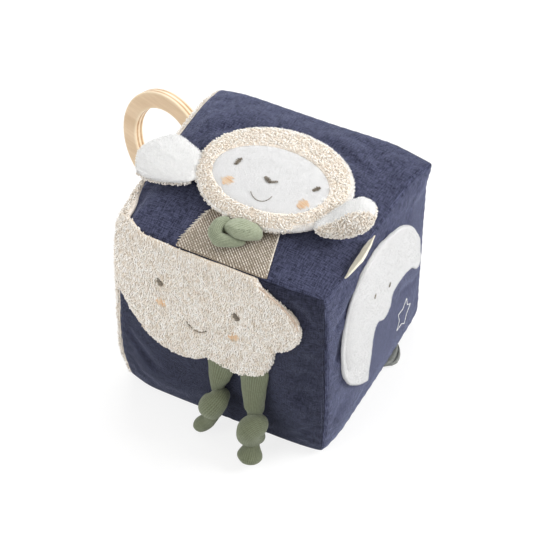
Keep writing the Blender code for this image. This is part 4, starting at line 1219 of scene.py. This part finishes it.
def loft(
    name, path, widths, heights, *materials, sides=32, step=0.0007, up=(0, 0, 1), power=2.2, carried=False
):
    """A soft closed limb: rounded sections along a path, closed in a dome at each end."""
    spots = np.array([tuple(p) for p in along_line(path, step)])
    chords = [0] + [(Vector(q) - Vector(p)).length for p, q in zip(path, path[1:])]
    shares = np.cumsum(chords) / sum(chords)
    share = np.linspace(0, 1, len(spots))
    soft = np.hanning(9) / np.hanning(9).sum()
    wide, high = (
        np.convolve(np.pad(np.interp(share, shares, sizes), 4, mode="edge"), soft, "valid")
        for sizes in (widths, heights)
    )
    run = np.concatenate([[0], np.cumsum(np.linalg.norm(np.diff(spots, axis=0), axis=1))])
    for far, size in ((run, wide[0]), (run[-1] - run, wide[-1])):
        dome = np.sqrt(np.clip(1 - (1 - np.clip(far / max(size, 0.001), 0, 1)) ** 2, 0.0004, 1))
        wide, high = wide * dome, high * dome
    ahead = np.gradient(spots, axis=0)
    ahead /= np.linalg.norm(ahead, axis=1)[:, None]
    bm = bmesh.new()
    layer = bm.loops.layers.uv.new("weave")
    rings = []
    rise = Vector(up)
    turns = [2 * pi * k / sides for k in range(sides)]
    for spot, way, half, tall in zip(spots, ahead, wide, high):
        way = Vector(way)
        across = rise.cross(way).normalized()
        lift = way.cross(across)
        if carried:
            rise = lift
        rings.append([
            bm.verts.new(
                Vector(spot)
                + across * half * math_power(cos(turn), 2 / power)
                + lift * tall * math_power(sin(turn), 2 / power)
            )
            for turn in turns
        ])
    around = 2 * pi * float(np.mean(wide)) / sides
    for i, (one, two) in enumerate(zip(rings, rings[1:])):
        for k in range(sides):
            face = bm.faces.new((one[k], one[(k + 1) % sides], two[(k + 1) % sides], two[k]))
            for loop, (u, v) in zip(face.loops, ((k, i), (k + 1, i), (k + 1, i + 1), (k, i + 1))):
                loop[layer].uv = (u * around, v * step)
    bm.faces.new(rings[0][::-1])
    bm.faces.new(rings[-1])
    bmesh.ops.recalc_face_normals(bm, faces=bm.faces)
    mesh = bpy.data.meshes.new(name)
    bm.to_mesh(mesh)
    bm.free()
    mesh.shade_smooth()
    return add_object(name, mesh, *materials)


def math_power(value, power):
    return abs(value) ** power * (1 if value > 0 else -1)


ear_ground = pile_base("ear_ground", (0.88, 0.88, 0.875, 1), (0.94, 0.94, 0.935, 1), size=0.0004)
ear_yarn = yarn("ear_yarn", (0.89, 0.89, 0.885, 1), (0.98, 0.98, 0.975, 1), sheen=0.2)
long_hair = hair("long_hair", 0.00014, 0.0016)
ear_loop = terry_loop("ear_loop", 0.0012, 0.0020, 0.00034)
ear_shapes = {
    # path, half widths, half heights, the side that faces up, and the way the pile leans
    "left": (
        [(-0.0330, -0.0180, 0.1456), (-0.0400, -0.0180, 0.1457), (-0.0490, -0.0178, 0.1458),
         (-0.0580, -0.0172, 0.1455), (-0.0660, -0.0165, 0.1450), (-0.0735, -0.0155, 0.1443)],
        (0.0105, 0.0118, 0.0155, 0.0178, 0.0172, 0.0125), (0.0016, 0.0032, 0.0050, 0.0055, 0.0050, 0.0040),
        (0, 0, 1), (-0.3, -0.2, 0.0),
    ),
    "right": (
        [(0.0400, -0.0245, 0.1458), (0.0470, -0.0226, 0.1468), (0.0536, -0.0194, 0.1490),
         (0.0591, -0.0158, 0.1518), (0.0643, -0.0128, 0.1546), (0.0695, -0.0098, 0.1574)],
        (0.0062, 0.0080, 0.0110, 0.0130, 0.0128, 0.0094), (0.0016, 0.0034, 0.0052, 0.0058, 0.0052, 0.0040),
        (-0.28, 0.08, 0.95), (0.2, -0.2, 0.1),
    ),
}
ear_root = 0.0370
lining_side = (0.488, -0.873, 0.0)    # the right ear is twisted, and shows its lining on this side
lining_edge = 0.0060
for side, (path, widths, heights, up, lean) in ear_shapes.items():
    sign = -1 if side == "left" else 1
    ear = loft("ear_" + side, path, widths, heights, ear_ground, terry_ground, up=up, power=2.4)
    subdivide(ear, 1)
    points = places(ear)
    points += normals(ear) * (0.0006 * ripple(points, 0.011, 30))[:, None]
    put(ear, points)
    outward = normals(ear)
    top_way = np.array(Vector(up).normalized())
    if side == "left":
        lining = outward @ top_way < -0.35
    else:
        lining = (points - np.array(path[0])) @ np.array(lining_side) > lining_edge
        lining |= outward @ top_way < -0.2
    out = points[:, 0] * sign > ear_root
    piles = [
        grow_pile(
            ear, ~lining & out, long_hair, ear_yarn, spacing=0.00046, lean=lean, locks=0.005, curl=0.9,
            ruffle=0.45, seed=20,
        ),
        grow_pile(
            ear, lining & out, ear_loop, terry_yarn, spacing=0.00100, lean=lean, locks=0.003, curl=2.4,
            ruffle=0.6, seed=21,
        ),
    ]
    for polygon in ear.data.polygons:
        polygon.material_index = int(lining[list(polygon.vertices)].mean() > 0.5)
    join(ear, *piles)
    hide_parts("ear_%s_velour" % side, "ear_%s_terry" % side)
    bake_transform(ear)


# Scarf: a strip of pale green ribbed jersey, knotted under the chin. The left end folds back on
# itself, and the right end lies over it as a broad tongue with a double-stitched hem.

def knit(name, dark, light, wale, sheen=0.4):
    """Jersey: columns of small V stitches that run along the cloth."""
    made, tree, shader = new_material(name)
    map_ = add_node(tree, "ShaderNodeUVMap", uv_map="weave")
    parts = add_node(tree, "ShaderNodeSeparateXYZ", {0: map_.outputs[0]})
    side = add_node(tree, "ShaderNodeMath", {0: parts.outputs[0], 1: wale / 2}, operation="PINGPONG")
    column = add_node(tree, "ShaderNodeMath", {0: side.outputs[0], 1: 1.3 / wale}, operation="MULTIPLY")
    slant = add_node(
        tree, "ShaderNodeMath", {0: side.outputs[0], 1: 1.2, 2: parts.outputs[1]}, operation="MULTIPLY_ADD"
    )
    phase = add_node(
        tree, "ShaderNodeMath", {0: slant.outputs[0], 1: 2 * pi / (wale * 0.8)}, operation="MULTIPLY"
    )
    row = add_node(tree, "ShaderNodeMath", {0: phase.outputs[0]}, operation="SINE")
    height = add_node(
        tree, "ShaderNodeMath", {0: row.outputs[0], 1: 0.25, 2: column.outputs[0]}, operation="MULTIPLY_ADD"
    )
    fibre = add_node(
        tree, "ShaderNodeTexNoise", {"Vector": map_.outputs[0], "Scale": 700, "Detail": 4, "Roughness": 0.7}
    )
    tone = add_node(
        tree, "ShaderNodeMath", {0: fibre.outputs["Fac"], 1: 1.1, 2: height.outputs[0]},
        operation="MULTIPLY_ADD"
    )
    ramp = add_node(
        tree, "ShaderNodeMapRange", {"Value": tone.outputs[0], "From Min": 0.25, "From Max": 1.35}
    )
    colour = add_node(
        tree, "ShaderNodeMix", {"Factor": ramp.outputs[0], "A": dark, "B": light}, data_type="RGBA"
    )
    tree.links.new(colour.outputs["Result"], shader.inputs["Base Color"])
    bump = add_node(tree, "ShaderNodeBump", {"Height": tone.outputs[0], "Strength": 0.7, "Distance": 0.0003})
    tree.links.new(bump.outputs[0], shader.inputs["Normal"])
    shader.inputs["Roughness"].default_value = 0.92
    shader.inputs["Specular IOR Level"].default_value = 0.12
    shader.inputs["Sheen Weight"].default_value = sheen
    shader.inputs["Sheen Roughness"].default_value = 0.5
    shader.inputs["Sheen Tint"].default_value = (0.90, 0.95, 0.82, 1)
    return made


sage = knit("sage_jersey", (0.170, 0.195, 0.120, 1), (0.440, 0.480, 0.350, 1), 0.00085)
# painted shade: a darker copy of the same sage jersey for the left end, which lies lower, under the right end
sage_painted_shade = knit("sage_jersey_painted_shade", (0.120, 0.140, 0.082, 1), (0.350, 0.385, 0.275, 1), 0.00085)
scarf_left = loft(
    "scarf_left",
    [(-0.0020, -0.0440, 0.1435), (-0.0048, -0.0458, 0.1446), (-0.0066, -0.0500, 0.1452),
     (-0.0064, -0.0545, 0.1448), (-0.0036, -0.0572, 0.1438), (0.0012, -0.0560, 0.1430), (0.0060, -0.0530, 0.1424),
     (0.0100, -0.0495, 0.1420)],
    (0.0030, 0.0038, 0.0040, 0.0040, 0.0040, 0.0038, 0.0034, 0.0028),
    (0.0030, 0.0042, 0.0048, 0.0048, 0.0040, 0.0034, 0.0028, 0.0022), sage_painted_shade,
)
scarf_right = loft(
    "scarf_right",
    [(-0.0040, -0.0478, 0.1440), (0.0000, -0.0478, 0.1458), (0.0050, -0.0474, 0.1464),
     (0.0100, -0.0466, 0.1460), (0.0145, -0.0452, 0.1450), (0.0178, -0.0436, 0.1436)],
    (0.0026, 0.0052, 0.0068, 0.0066, 0.0050, 0.0026), (0.0024, 0.0036, 0.0044, 0.0042, 0.0034, 0.0022), sage,
)
scarf_middle = loft(
    "scarf_middle", [(-0.0080, -0.0500, 0.1412), (-0.0053, -0.0500, 0.1414), (-0.0026, -0.0500, 0.1412)],
    (0.0018, 0.0024, 0.0018), (0.0012, 0.0016, 0.0012), sage,
)
for piece, node, body_name, seed in (
    (scarf_left, "scarf_end_left", "scarf_left", 40), (scarf_right, "scarf_end_right", "scarf_right", 41),
    (scarf_middle, "scarf_knot", "block", 42),
):
    subdivide(piece, 1)
    put(piece, places(piece) + normals(piece) * (0.0005 * ripple(places(piece), 0.0045, seed))[:, None])
    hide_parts(node)
    if piece == scarf_left:
        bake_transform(piece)
    else:
        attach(piece, body_name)
sage_thread = yarn("sage_thread", (0.16, 0.19, 0.12, 1), (0.34, 0.38, 0.27, 1))
scarf_skin = skin_of(scarf_right)
marks = []
for inset in (0.0, 0.0011):
    hem = [
        (-0.0015, -0.0516 + inset, 0.15), (0.0030, -0.0528 + inset, 0.15),
        (0.0080, -0.0520 + inset, 0.15), (0.0130, -0.0494 + inset, 0.15),
    ]
    marks += run_stitches(scarf_skin, downward, hem, 0.0008, 0.0007, 0.0001)
sew("scarf_hem", "scarf_right", sage_thread, 0.00022, marks)


# Legs: two tubes of darker green jersey, filled lightly, each tied in an overhand knot. Their tops
# are pressed flat and caught under the cloud's lower edge.

def tube_line(obj, top, count):
    """The middle line and radii of a bent tube, found ring by ring away from its top."""
    points = places(obj)
    edges = np.empty(len(obj.data.edges) * 2, np.int32)
    obj.data.edges.foreach_get("vertices", edges)
    edges = edges.reshape(-1, 2)
    lengths = np.linalg.norm(points[edges[:, 0]] - points[edges[:, 1]], axis=1)
    near = [[] for _ in points]
    for (a, b), length in zip(edges, lengths):
        near[a].append((b, length))
        near[b].append((a, length))
    far = np.full(len(points), np.inf)
    queue = [(0.0, int(i)) for i in np.nonzero(points[:, 2] > top - 0.0004)[0]]
    for _, i in queue:
        far[i] = 0
    while queue:
        so_far, i = heapq.heappop(queue)
        if so_far > far[i]:
            continue
        for j, length in near[i]:
            if so_far + length < far[j]:
                far[j] = so_far + length
                heapq.heappush(queue, (far[j], int(j)))
    path, radii = [], []
    low, high = np.minimum(far[edges[:, 0]], far[edges[:, 1]]), np.maximum(far[edges[:, 0]], far[edges[:, 1]])
    for level in np.linspace(0.02, 0.985, count) * far.max():
        across = (low <= level) & (high > level)
        one, two = edges[across, 0], edges[across, 1]
        share = (level - far[one]) / (far[two] - far[one])
        ring = points[one] + (points[two] - points[one]) * share[:, None]
        path.append(ring.mean(axis=0))
        radii.append(np.linalg.norm(ring - path[-1], axis=1).mean())
    return np.array(path), np.array(radii)


olive = knit("olive_jersey", (0.080, 0.092, 0.050, 1), (0.215, 0.238, 0.155, 1), 0.00092)
leg_swell = 0.0005
leg_shapes = {
    # the pressed top: middle, half width and half depth; then how its knot is drawn up and how full
    # it is, and how its foot hangs and how full that is
    "left": (
        [(0.0045, -0.0676, 0.0680, 0.0098, 0.0010), (0.0042, -0.0679, 0.0600, 0.0093, 0.0015),
         (0.0036, -0.0684, 0.0540, 0.0086, 0.0024), (0.0030, -0.0692, 0.0480, 0.0074, 0.0034),
         (0.0026, -0.0702, 0.0430, 0.0064, 0.0043)],
        0.0405, (0.0028, -0.0760, 0.0272), (0.60, 1.18), 1.34, (-0.0036, 0.0, -0.0016), 1.02,
    ),
    "right": (
        [(0.0244, -0.0676, 0.0680, 0.0094, 0.0010), (0.0244, -0.0679, 0.0600, 0.0092, 0.0015),
         (0.0243, -0.0685, 0.0540, 0.0089, 0.0024), (0.0246, -0.0693, 0.0480, 0.0080, 0.0034),
         (0.0252, -0.0705, 0.0420, 0.0072, 0.0043), (0.0256, -0.0718, 0.0370, 0.0064, 0.0050)],
        0.0345, (0.0300, -0.0780, 0.0192), (0.52, 1.38), 1.28, (0.0010, 0.0, 0.0018), 1.16,
    ),
}
knot_reach = 0.0130
wrap_shift = (0.0016, 0.0, 0.0)
hip_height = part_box("leg_left")[1].z
soft = np.hanning(7) / np.hanning(7).sum()
for side, shape in leg_shapes.items():
    top_sections, top_end, knot, (knot_wide, knot_tall), knot_full, foot_shift, foot_full = shape
    plain_tube = cloth_copy("plain_tube", "leg_" + side, olive, levels=2)
    line, radii = tube_line(plain_tube, hip_height, 70)
    bpy.data.objects.remove(plain_tube)
    first = int(np.argmax(line[:, 2] < top_end))
    line, radii = line[first:], radii[first:] + leg_swell
    run = np.concatenate([[0], np.cumsum(np.linalg.norm(np.diff(line, axis=0), axis=1))])
    near = np.exp(-((line[:, 2] - knot[2]) / knot_reach) ** 2)
    line[:, 0] += (line[:, 0] - knot[0]) * (knot_wide - 1) * near
    line[:, 2] += (line[:, 2] - knot[2]) * (knot_tall - 1) * near
    foot = eased((run / run[-1] - 0.72) / 0.2)
    wrap = near * eased((-0.0740 - line[:, 1]) / 0.006) * (1 - foot)
    radii *= (1 + wrap * (knot_full - 1)) * (1 + foot * (foot_full - 1))
    line += foot[:, None] * np.array(foot_shift) + wrap[:, None] * np.array(wrap_shift)
    top = np.array(top_sections)
    path = np.concatenate([top[:, :3], line])
    wide = np.concatenate([top[:, 3], radii])
    deep = np.concatenate([top[:, 4], radii])
    for axis in range(3):
        path[3:-3, axis] = np.convolve(path[:, axis], soft, "valid")
    leg = loft(
        "leg_%s_tube" % side, [tuple(p) for p in path], wide, deep, olive, sides=24, step=0.0009,
        up=(0.02, 1, 0), carried=True,
    )
    points = places(leg)
    points += normals(leg) * (0.0004 * ripple(points, 0.0060, 50))[:, None]
    put(leg, points)
    subdivide(leg, 1)
    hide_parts("leg_" + side)
    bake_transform(leg)


# Ring: beech plywood, turned, sanded and oiled. Its rim and its bore show the plies, alternately
# long grain and end grain; its flat faces show one ply's grain. A twill loop holds it to the seam.

def plywood(name, face, streaked, dark, light, ply):
    """Beech plies, one with its long grain along the flat faces and the next one cut across it."""
    made, tree, shader = new_material(name)
    inside = add_node(tree, "ShaderNodeAttribute", attribute_name="inside")
    parts = add_node(tree, "ShaderNodeSeparateXYZ", {0: inside.outputs["Vector"]})
    layer = add_node(tree, "ShaderNodeMath", {0: parts.outputs[2], 1: ply}, operation="PINGPONG")
    layer = add_node(
        tree, "ShaderNodeMapRange", {"Value": layer.outputs[0], "From Min": ply * 0.35, "From Max": ply * 0.65}
    )
    fit = add_node(tree, "ShaderNodeMapping", {"Vector": inside.outputs["Vector"], "Scale": (60, 700, 300)})
    streak = add_node(
        tree, "ShaderNodeTexNoise", {"Vector": fit.outputs[0], "Scale": 1.0, "Detail": 4, "Roughness": 0.6}
    )
    figure = add_node(tree, "ShaderNodeMapping", {"Vector": inside.outputs["Vector"], "Scale": (18, 110, 60)})
    band = add_node(
        tree, "ShaderNodeTexNoise", {"Vector": figure.outputs[0], "Scale": 1.0, "Detail": 2, "Distortion": 0.4}
    )
    tone = add_node(
        tree, "ShaderNodeMath", {0: streak.outputs["Fac"], 1: 0.6, 2: band.outputs["Fac"]},
        operation="MULTIPLY_ADD"
    )
    tone = add_node(
        tree, "ShaderNodeMapRange", {"Value": tone.outputs[0], "From Min": 0.55, "From Max": 1.05}
    )
    ends = add_node(
        tree, "ShaderNodeMix", {"Factor": tone.outputs[0], "A": dark, "B": light}, data_type="RGBA"
    )
    grain = add_node(
        tree, "ShaderNodeMix", {"Factor": tone.outputs[0], "A": streaked, "B": face}, data_type="RGBA"
    )
    colour = add_node(
        tree, "ShaderNodeMix",
        {"Factor": layer.outputs[0], "A": grain.outputs["Result"], "B": ends.outputs["Result"]},
        data_type="RGBA",
    )
    tree.links.new(colour.outputs["Result"], shader.inputs["Base Color"])
    bump = add_node(
        tree, "ShaderNodeBump", {"Height": streak.outputs["Fac"], "Strength": 0.15, "Distance": 0.0001}
    )
    tree.links.new(bump.outputs[0], shader.inputs["Normal"])
    shader.inputs["Roughness"].default_value = 0.42
    shader.inputs["Specular IOR Level"].default_value = 0.35
    return made


points = places(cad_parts["wooden_ring"])
ring_middle = (points.max(axis=0) + points.min(axis=0)) / 2
spread = np.linalg.eigh(np.cov((points - points.mean(axis=0)).T))[1]
ring_axis = Vector(spread[:, 0])
if ring_axis.y > 0:
    ring_axis = -ring_axis
local = points - ring_middle
height = local @ np.array(ring_axis)
radius = np.linalg.norm(local - height[:, None] * np.array(ring_axis), axis=1)
ring_reach, ring_bore, ring_half = radius.max(), radius.min(), (height.max() - height.min()) / 2
ring_shift = (height.max() + height.min()) / 2
ring_steps = 160
profile_steps = 40
ring_roundness = 9.0
ring_side = ring_axis.cross(Vector((0, 0, 1))).normalized()
ring_up = ring_side.cross(ring_axis)
bm = bmesh.new()
inside_layer = bm.verts.layers.float_vector.new("inside")
rings = []
for i in range(ring_steps):
    turn = 2 * pi * i / ring_steps
    ring = []
    for k in range(profile_steps):
        angle = 2 * pi * k / profile_steps
        bore_round = math_power(cos(angle), 2 / ring_roundness)
        far = (ring_reach + ring_bore) / 2 + (ring_reach - ring_bore) / 2 * bore_round
        tall = ring_shift + ring_half * math_power(sin(angle), 2 / ring_roundness)
        round_spot = (ring_side * cos(turn) + ring_up * sin(turn)) * far
        vert = bm.verts.new(Vector(ring_middle) + round_spot + ring_axis * tall)
        vert[inside_layer] = Vector((far * cos(turn), far * sin(turn), tall))
        ring.append(vert)
    rings.append(ring)
for i in range(ring_steps):
    one, two = rings[i], rings[(i + 1) % ring_steps]
    for k in range(profile_steps):
        bm.faces.new((one[k], one[(k + 1) % profile_steps], two[(k + 1) % profile_steps], two[k]))
bmesh.ops.recalc_face_normals(bm, faces=bm.faces)
mesh = bpy.data.meshes.new("ring")
bm.to_mesh(mesh)
bm.free()
mesh.shade_smooth()
beech = plywood(
    "beech_plywood", (0.88, 0.75, 0.56, 1), (0.80, 0.64, 0.44, 1), (0.40, 0.22, 0.10, 1),
    (0.66, 0.44, 0.26, 1), 0.0014,
)
ring = add_object("ring", mesh, beech)
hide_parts("wooden_ring")
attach(ring, "ring")

loop = cloth_copy("holder_loop", "ring_loop", beige_twill, levels=2)
lay_weave(loop, (0.8, 0.6, 0), (0, 0, 1))
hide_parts("ring_loop")
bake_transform(loop)


# Ribbons: a folded leaf of bare cream satin stands out of the top right seam, and a small folded
# tab of grey-green grosgrain out of the bottom right one.

def ribbon(name, dark, light, rib, roughness, sheen):
    made, tree, shader = new_material(name)
    map_ = add_node(tree, "ShaderNodeUVMap", uv_map="weave")
    ribs = add_node(
        tree, "ShaderNodeTexWave", {"Vector": map_.outputs[0], "Scale": 0.314 / rib, "Distortion": 0.4, "Detail": 2},
        bands_direction="X",
    )
    fibre = add_node(tree, "ShaderNodeTexNoise", {"Vector": map_.outputs[0], "Scale": 600, "Detail": 3})
    tone = add_node(
        tree, "ShaderNodeMath", {0: ribs.outputs["Fac"], 1: 0.5, 2: fibre.outputs["Fac"]},
        operation="MULTIPLY_ADD"
    )
    ramp = add_node(tree, "ShaderNodeMapRange", {"Value": tone.outputs[0], "From Min": 0.3, "From Max": 1.0})
    colour = add_node(
        tree, "ShaderNodeMix", {"Factor": ramp.outputs[0], "A": dark, "B": light}, data_type="RGBA"
    )
    tree.links.new(colour.outputs["Result"], shader.inputs["Base Color"])
    bump = add_node(tree, "ShaderNodeBump", {"Height": tone.outputs[0], "Strength": 0.4, "Distance": 0.0002})
    tree.links.new(bump.outputs[0], shader.inputs["Normal"])
    shader.inputs["Roughness"].default_value = roughness
    shader.inputs["Sheen Weight"].default_value = sheen
    return made


cream_satin = ribbon("cream_satin", (0.72, 0.65, 0.48, 1), (0.96, 0.92, 0.78, 1), 0.0006, 0.38, 0.1)
grey_ribbon = ribbon("grey_ribbon", (0.10, 0.11, 0.09, 1), (0.26, 0.27, 0.25, 1), 0.0008, 0.6, 0.4)


def folded_ribbon(name, cloth, root, far, reach, thick, lean):
    """A folded ribbon that stands out of a seam: how far, how thick and how steep, along its width."""
    root, far = Vector(root), Vector(far)
    across = (far - root).cross((0, 0, 1)).normalized()
    keys = np.linspace(0, 1, len(reach))
    steps, sides, fold_place = 44, 60, 0.2
    bm = bmesh.new()
    rings = []
    for i in range(steps + 1):
        share = i / steps
        out, fat, angle = (float(np.interp(share, keys, values)) for values in (reach, thick, lean))
        way = across * cos(radians(angle)) + Vector((0, 0, 1)) * sin(radians(angle))
        off = across * -sin(radians(angle)) + Vector((0, 0, 1)) * cos(radians(angle))
        middle = root.lerp(far, share)
        ring = []
        for k in range(sides):
            turn = 2 * pi * k / sides
            spot = middle + way * out * (0.5 + 0.5 * math_power(cos(turn), 0.8))
            pinch = fat / 2 * math_power(sin(turn), 0.5)
            pinch *= 1 - 0.7 * exp(-((cos(turn) - fold_place) / 0.22) ** 2)
            sway = 0.0004 * noise.noise(spot * 160)
            ring.append(bm.verts.new(spot + off * (pinch + sway)))
        rings.append(ring)
    for one, two in zip(rings, rings[1:]):
        for k in range(sides):
            bm.faces.new((one[k], one[(k + 1) % sides], two[(k + 1) % sides], two[k]))
    bm.faces.new(rings[0][::-1])
    bm.faces.new(rings[-1])
    bmesh.ops.recalc_face_normals(bm, faces=bm.faces)
    mesh = bpy.data.meshes.new(name)
    bm.to_mesh(mesh)
    bm.free()
    mesh.shade_smooth()
    piece = add_object(name, mesh, cloth)
    lay_weave(piece, (0, 1, 0), (0.7, 0, 0.7))
    return piece


label = folded_ribbon(
    "label", cream_satin, (0.0672, -0.0425, 0.1322), (0.0664, -0.0125, 0.1328),
    (0.0028, 0.0072, 0.0094, 0.0100, 0.0094, 0.0088, 0.0084),
    (0.0010, 0.0018, 0.0024, 0.0024, 0.0018, 0.0012, 0.0008), (54, 52, 50, 50, 52, 54, 56),
)
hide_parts("side_label")
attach(label, "block")
tab = folded_ribbon(
    "tab", grey_ribbon, (0.0664, 0.0140, 0.0022), (0.0664, 0.0335, 0.0022),
    (0.0005, 0.0045, 0.0062, 0.0060, 0.0050, 0.0032, 0.0005),
    (0.0010, 0.0022, 0.0026, 0.0026, 0.0024, 0.0018, 0.0010), (4, 4, 4, 4, 4, 4, 4),
)
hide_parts("green_tab")
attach(tab, "block")
